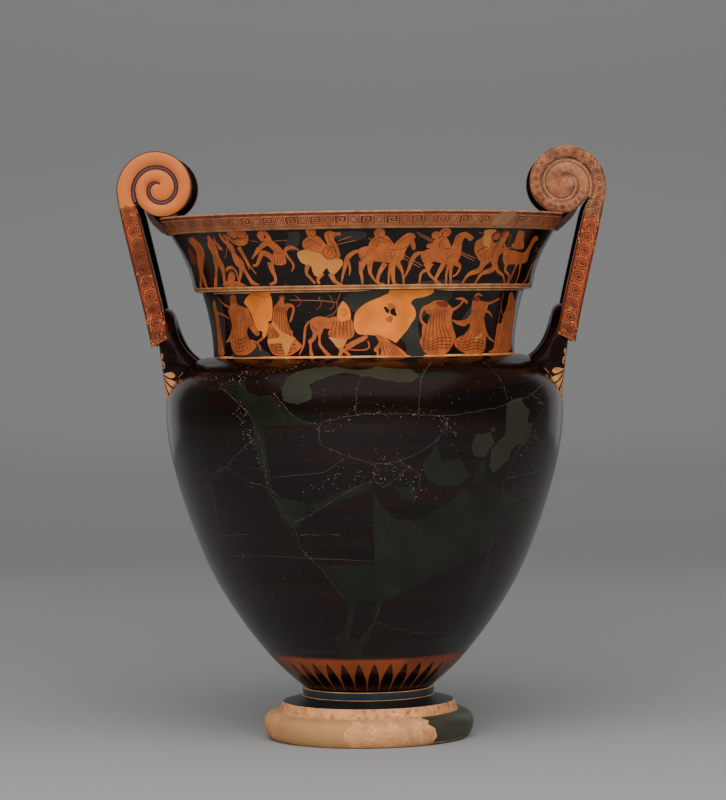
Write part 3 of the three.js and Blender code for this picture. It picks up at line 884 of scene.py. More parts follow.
def lower_frieze(d, u, ground):
    """Draped figures and two restored patches. u turns degrees into mm."""
    # Painted sheen: a grey streak down the register's left end stands for the gloss's reflection; the
    # patches after it are fills and rubbed spots.
    rubbed_and_sheen(d, u, ground, (-82, 0), (-84, 58), (-64, 58), (-62, 30), (-70, 0))
    rubbed_and_sheen(d, u, ground, (-60, 0), (-44, 12), (-40, 6), (-38, 0))
    rubbed_and_sheen(
        d, u, ground, (-6, 46), (-2, 59), (30, 59), (30, 46), (20, 30), (23, 0), (16, 0), (15, 12),
        (6, 26),
    )
    rubbed_and_sheen(d, u, ground, (38, 30), (42, 44), (44, 38), (42, 28))

    walker = d.at(u(-68), ground)
    walker.area(
        CLAY, (-1.5, 52), (3, 53.5), (2.5, 45.5), (2.5, 40), (2, 33.5), (1.5, 22.5), (4, 11),
        (6, 1.5), (-11, 1.5), (-12, 9.5), (-11.5, 19.5), (-8.5, 31.5), (-7.5, 41.5), (-6.5, 47.5),
    )
    walker.limb(CLAY, [(1.5, 41.5), (17.5, 38.5), (26, 35)], 2, 2, 1)
    pleats(walker, 3, ((-8, 3), (0, 3)), ((-6, 19.5), (-1, 19.5)), ((-3.5, 33.5), (0.5, 33.5)))
    dancer = d.at(u(-52), ground)
    dancer.area(
        CLAY, (-7, 53.5), (-4.5, 56.5), (0, 58), (3, 56.5), (3, 52.5), (3.5, 48.5), (10, 46.5),
        (17.5, 44), (18.5, 38.5), (22.5, 30.5), (28, 21.5), (24, 19), (18.5, 22.5), (13.5, 27.5),
        (10.5, 22.5), (13, 16), (20, 12), (22, 9.5), (18, 6), (11.5, 2.5), (1, 1), (-10.5, 2),
        (-18, 7), (-20.5, 13.5), (-31, 12.5), (-23, 17.5), (-17, 22.5), (-13, 29), (-13.5, 35.5),
        (-15, 40.5), (-13.5, 44.5), (-8.5, 48.5),
    )
    dancer.limb(CLAY, [(-11, 46), (-20.5, 49), (-28.5, 55.5)], 2.5, 2, 1)
    dancer.limb(CLAY, [(15, 14.5), (24.5, 12), (27.5, 5)], 3, 2, 1.0)
    pleats(
        dancer, 6, ((-16, 6.5), (15.5, 6.5)), ((-15, 17.5), (11, 17.5)), ((-8.5, 32.5), (9.5, 32)),
        ((-4.5, 44.5), (10.5, 44.5)),
    )
    pleats(dancer, 4, ((-16, 19.5), (-15.5, 7)), ((-5, 15), (-6.5, 4)), ((9.5, 18.5), (5.5, 6.5)))
    dancer.line(RUSSET, (-4.5, 54.5), (-4.5, 51), (1, 50.5), (2.5, 54), width=0.9)
    torn = d.at(u(-40), ground)
    torn.limb(CLAY, [(8.5, 31), (6.5, 23), (-2, 16), (-9, 13)], 5.5, 4, 2.5, 1.5)
    torn.area(
        BRIGHT, (-18, 50.5), (-12.5, 55.5), (-3.5, 59.5), (0.5, 61), (9, 61), (15, 60), (16.5, 55),
        (16.5, 48.5), (15, 40.5), (12.5, 33.5), (8.5, 32), (7, 25.5), (1.5, 17.5), (-1.5, 22.5),
        (-5.5, 24.5), (-7, 27), (-9.5, 33), (-11.5, 39.5), (-13, 43.5), (-15.5, 46.5),
    )
    torn.area(BLACK, (-4.5, 24), (-1.5, 23.5), (0.5, 22), (-2, 21))
    torn.line(RUSSET, (-4.5, 60), (1, 57), (8.5, 55), (16, 56.5), width=0.5)
    hostess = d.at(u(-31), ground)
    hostess.area(
        CLAY, (1.5, 52), (-1.5, 49.5), (-5.5, 46), (-8, 40.5), (-10, 33.5), (-14, 27), (-15.5, 22.5),
        (-18, 15), (-17.5, 10), (-12, 2), (-2.5, 0.5), (6.5, 0.5), (12.5, 3), (18.5, 6.5),
        (20.5, 10), (18, 12.5), (13, 17.5), (11, 20), (12, 22.5), (9, 25.5), (8, 29.5), (7, 34),
        (7, 40.5), (9, 43.5), (11.5, 47), (10, 48.5), (6, 48), (6, 50.5),
    )
    hostess.limb(CLAY, [(7.5, 47.5), (14.5, 46), (13.5, 39.5), (9.5, 31.5)], 3.5, 3, 2.5, 1.5)
    hostess.disc(RUSSET, 4.5, 54, 3.5, 2.5)
    hostess.disc(CLAY, 4, 53, 2, 2)
    pleats(
        hostess, 6, ((-13.5, 4.5), (14, 5)), ((-12, 16), (10, 15.5)), ((-7.5, 32.5), (6, 32.5)),
        ((-3.5, 45.5), (6, 45.5)),
    )
    pleats(hostess, 4, ((-16, 16), (-12.5, 5.5)), ((-4, 11), (-4, 2.5)), ((16.5, 15), (10.5, 4)))
    hostess.area(
        TAN, (-11, 31.5), (-6, 29.5), (-1, 23.5), (5.5, 20.5), (13, 15.5), (9, 11.5), (6.5, 5.5),
        (3, 1), (0, 7.5), (-2, 12), (-9, 12), (-16.5, 12), (-17, 16), (-6.5, 17), (-3, 20),
        (-9, 26.5),
    )
    beast = d.at(u(-16), ground)
    beast.limb(
        CLAY,
        [(-9.5, 32.5), (-14, 27), (-15.5, 19), (-17.5, 9), (-22, 1)],
        1.5, 2.5, 2.5, 2, 0.8,
    )
    beast.area(
        CLAY, (-9, 32.5), (-4.5, 35.5), (1.5, 36.5), (9.5, 35), (16, 36), (17.5, 28), (12.5, 25.5),
        (8, 25), (4.5, 25.5), (2.5, 22), (0.5, 17), (1, 10.5), (5.5, 5.5), (10.5, 0), (6, 0),
        (1.5, 5.5), (-2, 10.5), (-1.5, 15.5), (-2.5, 19.5), (-5, 15), (-8.5, 11.5), (-8.5, 6),
        (-7, 0.5), (-11, 1), (-11, 9), (-12, 14.5), (-8.5, 17), (-7, 21.5), (-9, 26),
    )
    beast.line(DARK, (-8, 29), (-4.5, 25), (-0.5, 23.5), width=0.5)
    beast.line(SPEAR, (-27, 52), (-15.5, 51.5), (2.5, 51), (18.5, 49), width=1)
    beast.line(SPEAR, (-17, 52), (-21.5, 56.5), width=0.7)
    beast.line(SPEAR, (2.5, 51), (1.5, 54.5), width=0.8)
    spears(beast, SPEAR, 0.7, ((14, 50.5), (11.5, 56)), ((17.5, 49.5), (21.5, 57.5)))
    beast.line(RUSSET, (-16.5, 51), (-17, 48), (-20.5, 46), width=1)
    beast.line(RUSSET, (3.5, 50.5), (2.5, 46.5), (-2, 42.5), width=1)
    beast.line(RUSSET, (14.5, 50), (14.5, 45.5), (10.5, 42.5), width=1)
    beast.line(SPEAR, (18, 49), (17.5, 43), (13.5, 38.5), (7, 36), width=0.7)
    robe = d.at(u(-7), ground)
    robe.area(
        CLAY, (-12.5, 35), (-6, 36.5), (-4, 42), (-0.5, 47), (4, 42), (7, 34), (9.5, 28), (9.5, 20),
        (7, 16.5), (1.5, 15), (-6.5, 16), (-14.5, 18.5), (-15, 23), (-11.5, 26.5),
    )
    robe.area(
        BRIGHT, (-0.5, 50), (-4.5, 44.5), (-6, 38.5), (-5.5, 34), (-2.5, 31.5), (2, 32.5), (6, 34),
        (6.5, 39.5), (5, 44.5), (2, 48.5),
    )
    pleats(robe, 6, ((-13, 18.5), (7, 18.5)), ((-11.5, 25), (6, 24.5)), ((-9.5, 32), (5.5, 32)))
    robe.line(DARK, (-2.5, 42), (0, 43), (2.5, 40), (0.5, 36.5), (-2, 38.5), width=0.45)
    robe.area(
        TAN, (-15, 17.5), (-6.5, 16), (1.5, 15), (3.5, 16.5), (-0.5, 9), (-3, 6.5), (-7, 7.5),
        (-11, 12.5),
    )
    robe.limb(CLAY, [(-3.5, 7.5), (-3, 4), (-5.5, 0)], 5, 4, 3)
    robe.limb(CLAY, [(0, 7), (1.5, 3), (5.5, 0)], 4, 3, 2)
    robe.limb(CLAY, [(1.5, 7), (8, 11), (16.5, 15), (22, 18)], 5.5, 5, 4.5, 3)
    robe.limb(CLAY, [(5, 5.5), (14.5, 5), (22, 6), (23.5, 10), (22, 13.5)], 1, 1, 1.5, 1.5, 0.8)
    mend = d.at(u(11), ground)
    mend.area(
        BRIGHT, (-37.5, 34), (-36, 39), (-32.5, 43.5), (-25.5, 48.5), (-13.5, 53.5), (-6, 57),
        (-2.5, 60), (31, 60.5), (36.5, 59), (35, 56), (28.5, 53.5), (20.5, 52), (17, 50.5),
        (15.5, 47.5), (18.5, 44), (20.5, 39.5), (20.5, 34.5), (16.5, 28.5), (12.5, 22.5), (7, 16.5),
        (2, 11.5), (-2, 13.5), (-9, 16), (-16, 18), (-25.5, 19), (-34, 20), (-37.5, 26),
    )
    mend.area(CLAY, (-6, 47), (-2, 47.5), (1.5, 44), (-1.5, 40.5), (-5, 40.5))
    mend.area(CLAY, (-8, 34), (-3, 36.5), (-1, 33.5), (-3, 30), (-7, 31))
    mend.area(BLACK, (-10, 44.5), (-7, 44), (-5, 41), (-5.5, 38.5), (-8, 40))
    mend.area(BLACK, (-3.5, 41.5), (0, 43.5), (1.5, 39), (2.5, 36), (-0.5, 36.5), (-3.5, 38))
    kneeler = d.at(u(8), ground)
    kneeler.area(
        CLAY, (-10, 19.5), (-5, 18), (-0.5, 16), (5, 12), (10, 8.5), (15, 5.5), (19.5, 1.5),
        (20.5, -1), (15, -1.5), (-7.5, -0.5), (-8.5, 2), (-11.5, 5), (-8.5, 9), (-6.5, 12),
        (-8.5, 16),
    )
    kneeler.area(BLACK, (-6.5, 6.5), (-5, 5), (-5.5, 0.5), (-6.5, 1))
    pleats(kneeler, 6, ((-4.5, 0), (16.5, -0.5)), ((-5, 5), (10.5, 5)), ((-5, 12), (5, 12)))
    matron = d.at(u(29), ground)
    matron.area(
        CLAY, (-17.5, 45), (-13.5, 47), (-9.5, 49.5), (-4.5, 50), (1.5, 49.5), (6.5, 46.5),
        (11.5, 42), (12.5, 38.5), (11.5, 34), (12.5, 29.5), (14.5, 23.5), (17.5, 18), (18, 15),
        (16, 11.5), (14.5, 8), (11, 3.5), (6.5, 0.5), (-1.5, -0.5), (-9, -0.5), (-14.5, 1),
        (-17.5, 3.5), (-20, 8.5), (-21.5, 12), (-19.5, 17), (-19.5, 22), (-18.5, 28), (-14, 28.5),
        (-13, 32), (-11.5, 36), (-16, 38.5), (-17.5, 41.5),
    )
    matron.limb(
        CLAY,
        [(-16.5, 44.5), (-20, 41.5), (-21.5, 36), (-20, 30.5), (-16.5, 27.5)],
        3.5, 3, 2.5, 2.5, 2.5,
    )
    matron.limb(CLAY, [(10.5, 40.5), (17.5, 43.5), (22, 48), (23, 50.5)], 3.5, 2.5, 2, 2)
    matron.area(CLAY, (13, 51), (18, 52.5), (23, 52), (28.5, 48.5), (27.5, 46.5), (22, 49.5))
    matron.area(
        RUSSET, (-7, 48), (-2, 49), (3.5, 49), (6.5, 46.5), (5, 43.5), (-0.5, 43.5), (-4, 45),
    )
    pleats(
        matron, 7, ((-17.5, 4), (12, 3.5)), ((-17, 14.5), (11.5, 14)), ((-14.5, 29), (4.5, 29)),
        ((-13, 42), (3.5, 42)),
    )
    pleats(
        matron, 4, ((-19.5, 16), (-17, 6)), ((-10.5, 12), (-10.5, 4)), ((-1.5, 15), (-1.5, 6)),
        ((15.5, 15), (10.5, 5.5)),
    )
    maenad = d.at(u(45), ground)
    maenad.area(
        CLAY, (-7.5, 49.5), (-3, 50), (4.5, 49), (14, 47.5), (15, 43), (13.5, 38.5), (12, 34),
        (13, 30), (15.5, 24.5), (18, 18), (18, 13), (17.5, 5.5), (13.5, 1), (2, -0.5), (-8.5, -0.5),
        (-18, 3), (-24, 7), (-25.5, 12), (-20.5, 15.5), (-14.5, 17.5), (-9, 21.5), (-6.5, 26),
        (-8.5, 31), (-7, 36), (-7.5, 43),
    )
    maenad.area(
        CLAY, (-30, 32), (-24, 31), (-18, 31), (-12, 32.5), (-7, 36), (-6, 30), (-10, 27.5),
        (-14, 25.5), (-19.5, 26.5), (-25.5, 28.5),
    )
    maenad.limb(CLAY, [(11.5, 46), (22, 48), (32.5, 51)], 3, 2.5, 1.5)
    maenad.limb(CLAY, [(11.5, 40), (20.5, 37.5), (24.5, 34)], 2.5, 2, 0.9)
    maenad.limb(CLAY, [(14.5, 22.5), (22, 15), (33, 10.5)], 3.5, 2.5, 1)
    maenad.area(RUSSET, (-6.5, 51.5), (-2, 53), (2, 50.5), (-1, 48), (-5, 49))
    maenad.limb(CLAY, [(-6, 53), (-2.5, 55.5), (4.5, 53.5)], 2, 2.5, 1)
    maenad.area(TAN, (12.5, 20), (11.5, 17), (4.5, 12), (1, 11.5), (1, 15), (6, 16.5))
    pleats(
        maenad, 6, ((-21, 4), (12, 2.5)), ((-18, 12.5), (13, 12)), ((-7.5, 26), (10, 26)),
        ((-5.5, 41.5), (9.5, 41.5)),
    )
    pleats(
        maenad, 4, ((-23.5, 11.5), (-19, 4.5)), ((-12, 10.5), (-11.5, 3)), ((1.5, 13.5), (2, 4.5)),
        ((17, 11), (17.5, 3)),
    )
    elder = d.at(u(65), ground)
    elder.area(
        CLAY, (-3, 55.5), (4, 57), (14.5, 50.5), (27.5, 41), (30, 33), (30, 21.5), (26.5, 9.5),
        (20.5, 1), (-28, 0.5), (-20.5, 4), (-18.5, 10), (-17, 18), (-15.5, 27), (-8.5, 28),
        (-6.5, 33.5), (-4.5, 37.5), (-2, 45), (-2, 50.5),
    )
    pleats(
        elder, 4, ((-15.5, 2), (13.5, 1.5)), ((-11.5, 18), (12.5, 17.5)), ((-5, 33.5), (12.5, 33.5)),
        ((0, 47.5), (11, 47.5)),
    )
    elder.line(CLAY, (-14.5, 56), (-15, 46), (-10.5, 39), (-4.5, 34.5), width=0.9)
    elder.line(CLAY, (-14, 46.5), (-14, 28), width=0.8)


def ring(x, y, inner, outer, steps=18):
    """A thin round line, cut open at one point so that it is a single outline."""
    turn = [TAU * i / steps for i in range(steps + 1)]
    outside = [(x + outer * math.cos(a), y + outer * math.sin(a)) for a in turn[:-1]]
    gap = turn[-1] - 0.03
    outside.append((x + outer * math.cos(gap), y + outer * math.sin(gap)))
    inside = [(x + inner * math.cos(a), y + inner * math.sin(a)) for a in turn[:-1]]
    inside.append((x + inner * math.cos(gap), y + inner * math.sin(gap)))
    return outside + inside[::-1]


# ---- the handles --------------------------------------------------------------
# Built for the viewer's right and mirrored for the left.

STRAP_CURVE = ((202.5, 379), (210.5, 429), (231.8, 504), (232.4, 529.5))
STRAP_FOOT, VOLUTE_HEIGHT, VOLUTE_OUT, REACH = 379, 529.5, 192.1, 40.3
STRAP_WIDTH, HEAD_WIDTH, FREE_END_SLANT = 18.5, 16.2, 0.035
HALF_AT_FOOT, HALF_AT_VOLUTE = 39, 53
FLANGE, RECESS, WEB_FOOT = 11, 4.2, 0.16
STRAP_TURNS = 0.61  # the strap's length counted in turns of the volute's first ring
TURN_LENGTH = TAU * REACH
SLOT_TURNS, GROOVE_TURNS, GROOVE_WIDTH = 0.92, 2.3, 4.3
BAND_WIDTH = 16  # a flange face unrolled, for drawing on


class Volute:
    """One handle: its coil tightens by its own law."""

    def __init__(self, side, turns_to_eye, tightness, swell):
        self.side, self.turns_to_eye = side, turns_to_eye
        self.tightness, self.swell = tightness, swell

    def coil(self, turns, offset=0.0):
        radius = REACH * max(1 - turns / self.turns_to_eye, 0) ** self.tightness + offset
        angle = turns * TAU
        return VOLUTE_OUT + radius * math.cos(angle), VOLUTE_HEIGHT + radius * math.sin(angle)

    def edge(self, turns, inset=0.0):
        """The handle's outer edge: the strap before turn 0, the coil after it."""
        if turns >= 0:
            return self.coil(turns, -inset)
        return strap_point(1 + turns / STRAP_TURNS, inset)

    def inner(self, turns):
        """The flange face's inner edge, against the slot and then the groove."""
        meet = SLOT_TURNS - 1
        if turns >= meet:
            fade = min(1, (GROOVE_TURNS + 0.1 - turns - 1) * 3)
            return self.coil(turns + 1, GROOVE_WIDTH * fade)
        share = (turns + STRAP_TURNS) / (meet + STRAP_TURNS)
        t = lerp(FREE_END_SLANT, 1 + meet / STRAP_TURNS, share)
        free = strap_point(t, lerp(STRAP_WIDTH, HEAD_WIDTH, t**3))
        near = max(0, (share - 0.8) / 0.2) ** 2
        end = self.coil(SLOT_TURNS, GROOVE_WIDTH)
        last = strap_point(1 + meet / STRAP_TURNS, HEAD_WIDTH)
        return tuple(p + near * (e - q) for p, e, q in zip(free, end, last))

    def place(self, x, z, depth, front=-1):
        """A point at the given depth behind the flange's face."""
        y = front * (half_width(z) - depth)
        return self.side * x, y, z


def strap_point(t, depth):
    """A point at the given depth inside the strap's outer edge, t = 0 at its free end."""
    a, b, c, d = STRAP_CURVE
    s = 1 - t
    x, z = (
        s**3 * p + 3 * s * s * t * q + 3 * s * t * t * r + t**3 * w
        for p, q, r, w in zip(a, b, c, d)
    )
    dx, dz = (
        s * s * (q - p) + 2 * s * t * (r - q) + t * t * (w - r) for p, q, r, w in zip(a, b, c, d)
    )
    length = math.hypot(dx, dz)
    return x - dz / length * depth, z + dx / length * depth


def half_width(z):
    """Half the handle from front to back, which grows from its foot to the volute."""
    share = (z - STRAP_FOOT) / (VOLUTE_HEIGHT - STRAP_FOOT)
    return lerp(HALF_AT_FOOT, HALF_AT_VOLUTE, share)


def spread(start, stop, steps):
    return [lerp(start, stop, i / steps) for i in range(steps + 1)]


PER_TURN = 60
FIRST_TURN = -STRAP_TURNS
EDGE_DEPTH = 2.2  # how far a flange face falls away at its two edges


def flange_face(shell, volute, front, shapes, ground):
    """A flange's swelling front, from the strap's free end into the coil."""
    flip = (volute.side * front) > 0

    def place(u, v):
        turns = u / TURN_LENGTH
        (x0, z0), (x1, z1) = volute.edge(turns), volute.inner(turns)
        across = v / BAND_WIDTH
        rounding = abs(2 * across - 1)
        fall = EDGE_DEPTH * lerp(rounding**8, rounding**volute.swell, min(max(turns * 5 + 1, 0), 1))
        return volute.place(lerp(x0, x1, across), lerp(z0, z1, across), fall, front)

    last = GROOVE_TURNS - 1
    columns = round((last - FIRST_TURN) * PER_TURN)
    box = ((FIRST_TURN * TURN_LENGTH, 0), (last * TURN_LENGTH, BAND_WIDTH))
    painted(shell, box, (columns, 10), place, shapes, ground, not flip)


def flange_trim(shell, volute, front, groove, groove_highlight, edge_slot, eye_slot):
    """The groove with a painted highlight down its middle, the eye, the edges and the back of a
    flange.
    """
    flip = (volute.side * front) > 0
    start = SLOT_TURNS - 1
    last = GROOVE_TURNS - 1
    bed = [(0, EDGE_DEPTH), (0.1, 2.5), (0.25, 3), (0.5, 2.3), (0.75, 3), (0.9, 2.5), (1, EDGE_DEPTH)]
    turns = spread(start, last, round((last - start) * PER_TURN))
    # The middle third, over the raised bead, is painted lighter as a highlight.
    for first, stop, slot in ((0, 3, groove), (2, 5, groove_highlight), (4, 7, groove)):
        rows = []
        for t in turns:
            (x0, z0), (x1, z1) = volute.inner(t), volute.coil(t + 1)
            rows.append(
                [volute.place(lerp(x0, x1, s), lerp(z0, z1, s), d, front) for s, d in bed[first:stop]]
            )
        sheet(shell, rows, slot, flip)
    eye = [
        [
            volute.place(
                lerp(VOLUTE_OUT, volute.coil(t)[0], s),
                lerp(VOLUTE_HEIGHT, volute.coil(t)[1], s),
                EDGE_DEPTH * s**3,
                front,
            )
            for s in (0.02, 0.35, 0.6, 0.8, 0.92, 1)
        ]
        for t in spread(last, last + 1, PER_TURN)
    ]
    sheet(shell, eye, eye_slot, not flip)
    depths = (EDGE_DEPTH, EDGE_DEPTH + 0.8, FLANGE)
    walls = (
        (volute.edge, spread(FIRST_TURN, SLOT_TURNS, 92), False),
        (volute.inner, spread(FIRST_TURN, start, 32), True),
    )
    for line, stations, inside in walls:
        rows = [[volute.place(*line(t), d, front) for d in depths] for t in stations]
        sheet(shell, rows, BLACK if inside else edge_slot, flip == inside)
    back = [
        [volute.place(*line(t), FLANGE, front) for line in (volute.edge, volute.inner)]
        for t in spread(FIRST_TURN, SLOT_TURNS, 92)
    ]
    sheet(shell, back, BLACK, not flip)
    corners = [volute.edge(FIRST_TURN), volute.inner(FIRST_TURN)]
    cap = [[volute.place(x, z, d, front) for d in (EDGE_DEPTH, FLANGE)] for x, z in corners]
    sheet(shell, cap, WORN_EDGE_AND_HIGHLIGHT, not flip)


def roll_and_web(shell, volute):
    """The black sheet of clay between the two flanges, set back from their edges."""
    foot = FIRST_TURN * (1 - WEB_FOOT)
    outer = [volute.edge(t, RECESS) for t in spread(foot, SLOT_TURNS, 96)]
    inner = []
    for t in spread(SLOT_TURNS - 1.02, foot, 30):
        (x0, z0), (x1, z1) = volute.edge(t), volute.inner(t)
        share = 1 - RECESS / math.hypot(x1 - x0, z1 - z0)
        inner.append((lerp(x0, x1, share), lerp(z0, z1, share)))
    loop = [*outer, *inner, outer[0]]
    rows = [
        [volute.place(x, z, lerp(FLANGE - 1, 2 * half_width(z) - FLANGE + 1, s)) for s in (0, 0.5, 1)]
        for x, z in loop
    ]
    sheet(shell, rows, BLACK, volute.side > 0)


def seat(shell, volute):
    """The lump of clay that seats the roll on the rim's outer edge."""
    top = volute.coil(0.84, -0.5)
    outline = [
        (VOLUTE_OUT - 12, VOLUTE_HEIGHT - 20),
        (RIM_LOWER - 10, RIM_TOP - 2),
        (RIM_LOWER - 5, RIM_FOOT + 2),
        (RIM_LOWER + 0.5, RIM_FOOT + 1),
        (RIM_UPPER + 1, RIM_FOOT + 9.5),
        (lerp(RIM_UPPER + 1, top[0], 0.5) + 0.6, lerp(RIM_FOOT + 9.5, top[1], 0.5) - 0.6),
        top,
        (VOLUTE_OUT + 12, VOLUTE_HEIGHT - 12),
    ]
    share = 0.93
    depth = (1 - share) * HALF_AT_VOLUTE
    middle = (VOLUTE_OUT, RIM_TOP + 3)
    for front in (-1, 1):
        flip = (volute.side * front) > 0
        rows = [
            [
                volute.place(lerp(middle[0], x, s), lerp(middle[1], z, s), depth, front)
                for s in (0, 0.5, 1)
            ]
            for x, z in [*outline, outline[0]]
        ]
        sheet(shell, rows, PURPLE, not flip)
    for ends in zip(outline, outline[1:] + outline[:1]):
        wall = [
            [
                volute.place(x, z, lerp(depth, 2 * half_width(z) - depth, s))
                for s in (0, 0.06, 0.94, 1)
            ]
            for x, z in ends
        ]
        sheet(shell, wall, PURPLE, volute.side > 0)


LEG_SPAN, LEG_FOOT, LEG_TOP = 29, 318, 377
LOOP_FACE, LOOP_FACE_HEIGHT, LOOP_LEAN = 192.5, 354, 0.13
LOOP_THICK, LOOP_BREADTH = 8.6, 10
FLARE, FLARE_HEIGHT, FLARE_LENGTH = 8.5, 367, 14


def loop_point(along, turn, side):
    """A point of the loop: mm along it from the front leg's foot, and round it."""
    leg = LEG_TOP - LEG_FOOT
    arch = math.pi * LEG_SPAN
    if along < leg:
        y, z, direction = -LEG_SPAN, LEG_FOOT + along, (0, 1)
    elif along < leg + arch:
        angle = (along - leg) / LEG_SPAN
        y, z = -LEG_SPAN * math.cos(angle), LEG_TOP + LEG_SPAN * math.sin(angle)
        direction = (math.sin(angle), math.cos(angle))
    else:
        y, z, direction = LEG_SPAN, LEG_TOP - (along - leg - arch), (0, -1)
    flare = loop_swell(z)
    half, breadth = LOOP_THICK + flare, LOOP_BREADTH + flare * 0.35
    x = loop_face(z) - half
    across = breadth * math.sin(turn)
    return (
        side * (x + half * math.cos(turn)),
        y - direction[1] * across,
        z + direction[0] * across,
    )


def palmette(d, place):
    """An upright palmette with a fan of leaves and a pair of spirals.

    place turns (across, up) from its heart into the surface's own flat axes.
    """

    def mark(outline, slot):
        d.shapes.append(([place(x, y) for x, y in outline], slot))

    def leaf(angle, start, length, width):
        dx, dy = math.sin(math.radians(angle)), math.cos(math.radians(angle))
        along = [(0, 0), (0.22, 0.35), (0.46, 0.68), (0.4, 0.9), (0, 1)]
        sides = [(w * width, start + r * length) for w, r in along]
        sides += [(-w, r) for w, r in sides[-2:0:-1]]
        mark([(dx * r + dy * w, dy * r - dx * w) for w, r in smooth_ring(sides, 2)], PALMETTE_CLAY)

    for side in (-1, 1):
        for angle, length, width in ((96, 15, 6), (121, 19, 6), (143, 24, 6.4), (163, 29, 5.6)):
            leaf(side * angle, 4.4, length, width)
        leaf(side * 24, 12, 9, 4)
        turns = [(TAU * k / 12, 4.2 * (1 - k / 24)) for k in range(19)]
        curl = [(side * (6.4 - r * math.cos(a)), 7.6 + r * math.sin(a)) for a, r in turns]
        mark(stroke([(0, 2), *curl], (1.5, 1.1)), PALMETTE_CLAY)
    leaf(180, 4.4, 31, 5)
    leaf(0, 12, 11, 4.4)
    mark(round_shape(0, 0.4, 3.6, 3), PALMETTE_CLAY)


PALMETTE_HEIGHT = 354
WRAP = 0.5  # how much the palmette is drawn out where a surface turns away


def solve(function, target, low, high):
    """Where a rising function meets the target."""
    for _ in range(18):
        middle = (low + high) / 2
        low, high = (middle, high) if function(middle) < target else (low, middle)
    return low


def wrapped(across, depth):
    return across + math.copysign(WRAP * max(depth, 0), across)


def loop_face(z):
    return LOOP_FACE + LOOP_LEAN * (z - LOOP_FACE_HEIGHT)


def loop_swell(z):
    return FLARE * math.exp((FLARE_HEIGHT - max(z, FLARE_HEIGHT - 4)) / FLARE_LENGTH)


def turn_on_leg(x, z):
    """The turn round a leg at which a palmette's point lies."""
    flare = loop_swell(z)
    half, breadth = LOOP_THICK + flare, LOOP_BREADTH + flare * 0.35
    return solve(
        lambda turn: wrapped(breadth * math.sin(turn), half * (1 - math.cos(turn))),
        x,
        -math.pi / 2,
        math.pi / 2,
    )


def turn_on_body(x, z, y_leg):
    """The turn round the body, from its side, at which a palmette's point lies."""
    r = body_wall(wall_share(z))[0]
    near = math.sqrt(r * r - y_leg**2)
    dy = solve(lambda y: wrapped(y, near - math.sqrt(r * r - (y_leg + y) ** 2)), x, -70, 70)
    return math.acos(max(min(-(y_leg + dy) / r, 1), -1))


def handle_loop(shell, volute):
    """The ring of clay on the shoulder, with a palmette at the root of each leg."""
    leg = LEG_TOP - LEG_FOOT
    total = 2 * leg + math.pi * LEG_SPAN
    heart = PALMETTE_HEIGHT - LEG_FOOT
    d = Drawing()
    for along, upward in ((heart, 1), (total - heart, -1)):

        def on_leg(x, y, along=along, upward=upward):
            turn = turn_on_leg(x, PALMETTE_HEIGHT + y)
            return turn * LOOP_BREADTH * upward, along + y * upward

        palmette(d, on_leg)

    def place(u, v):
        return loop_point(v, u / LOOP_BREADTH, volute.side)

    half = math.pi * LOOP_BREADTH
    box = ((-half, 0), (half, total))
    painted(shell, box, (24, 64), place, d.shapes, BLACK, volute.side > 0)


def side_palmettes(d):
    """The parts of the four palmettes that spread off the loops' legs onto the body."""
    for side in (-1, 1):
        for y_leg in (-LEG_SPAN, LEG_SPAN):

            def on_body(x, y, side=side, y_leg=y_leg):
                z = PALMETTE_HEIGHT + y
                turn = side * turn_on_body(x, z, y_leg)
                return turn * BODY_RADIUS, wall_share(z) * WALL_LENGTH

            palmette(d, on_body)


RUNNING_PITCH = 11.4


def running_spirals(d, start, stop, line, dots):
    """Linked spirals between double border lines, along a flange face."""
    for v, width in ((1.0, 0.9), (2.2, 0.45), (BAND_WIDTH - 2.2, 0.45), (BAND_WIDTH - 1.0, 0.9)):
        d.put(stroke([(lerp(start, stop, k / 24), v) for k in range(25)], (width, width)), line)
    middle = BAND_WIDTH / 2
    count = round((stop - start) / RUNNING_PITCH)
    pitch = (stop - start) / count
    for k in range(count):
        centre = start + (k + 0.5) * pitch
        arm = []
        for j in range(41):
            t = j / 40
            angle = 1.25 * math.pi - t * math.pi * 5.2
            r = lerp(5.5, 0.6, t**0.9)
            arm.append((centre + r * math.cos(angle), middle + r * math.sin(angle)))
        arm.insert(0, (centre - pitch * 0.72, middle - 4.9))
        d.put(stroke(arm, (0.6, 0.85, 0.85)), line)
        d.disc(line, centre, middle, 0.9)
        joint = centre - pitch / 2
        d.disc(dots, joint, middle + 4.4, 0.9)


def flakes(d, middle, reach, count):
    """Small pale chips where a flange is worn."""
    for _ in range(count):
        u = middle + rng.uniform(-reach, reach)
        near_edge = rng.uniform(0.3, 3)
        anywhere = rng.uniform(0.3, BAND_WIDTH - 0.3)
        far_edge = rng.uniform(BAND_WIDTH - 3, BAND_WIDTH)
        v = rng.choice((near_edge, anywhere, far_edge))
        d.put(round_shape(u, v, rng.uniform(0.4, 1.4), rng.uniform(0.2, 0.6), 5), PALMETTE_CLAY)


JOIN = -0.1 * TURN_LENGTH  # where the left volute's new clay meets the old strap
BELOW, BEYOND = -0.5, BAND_WIDTH + 0.5  # just past the two edges of the flat flange face
COIL_END = 2 * TURN_LENGTH  # past the end of the coil


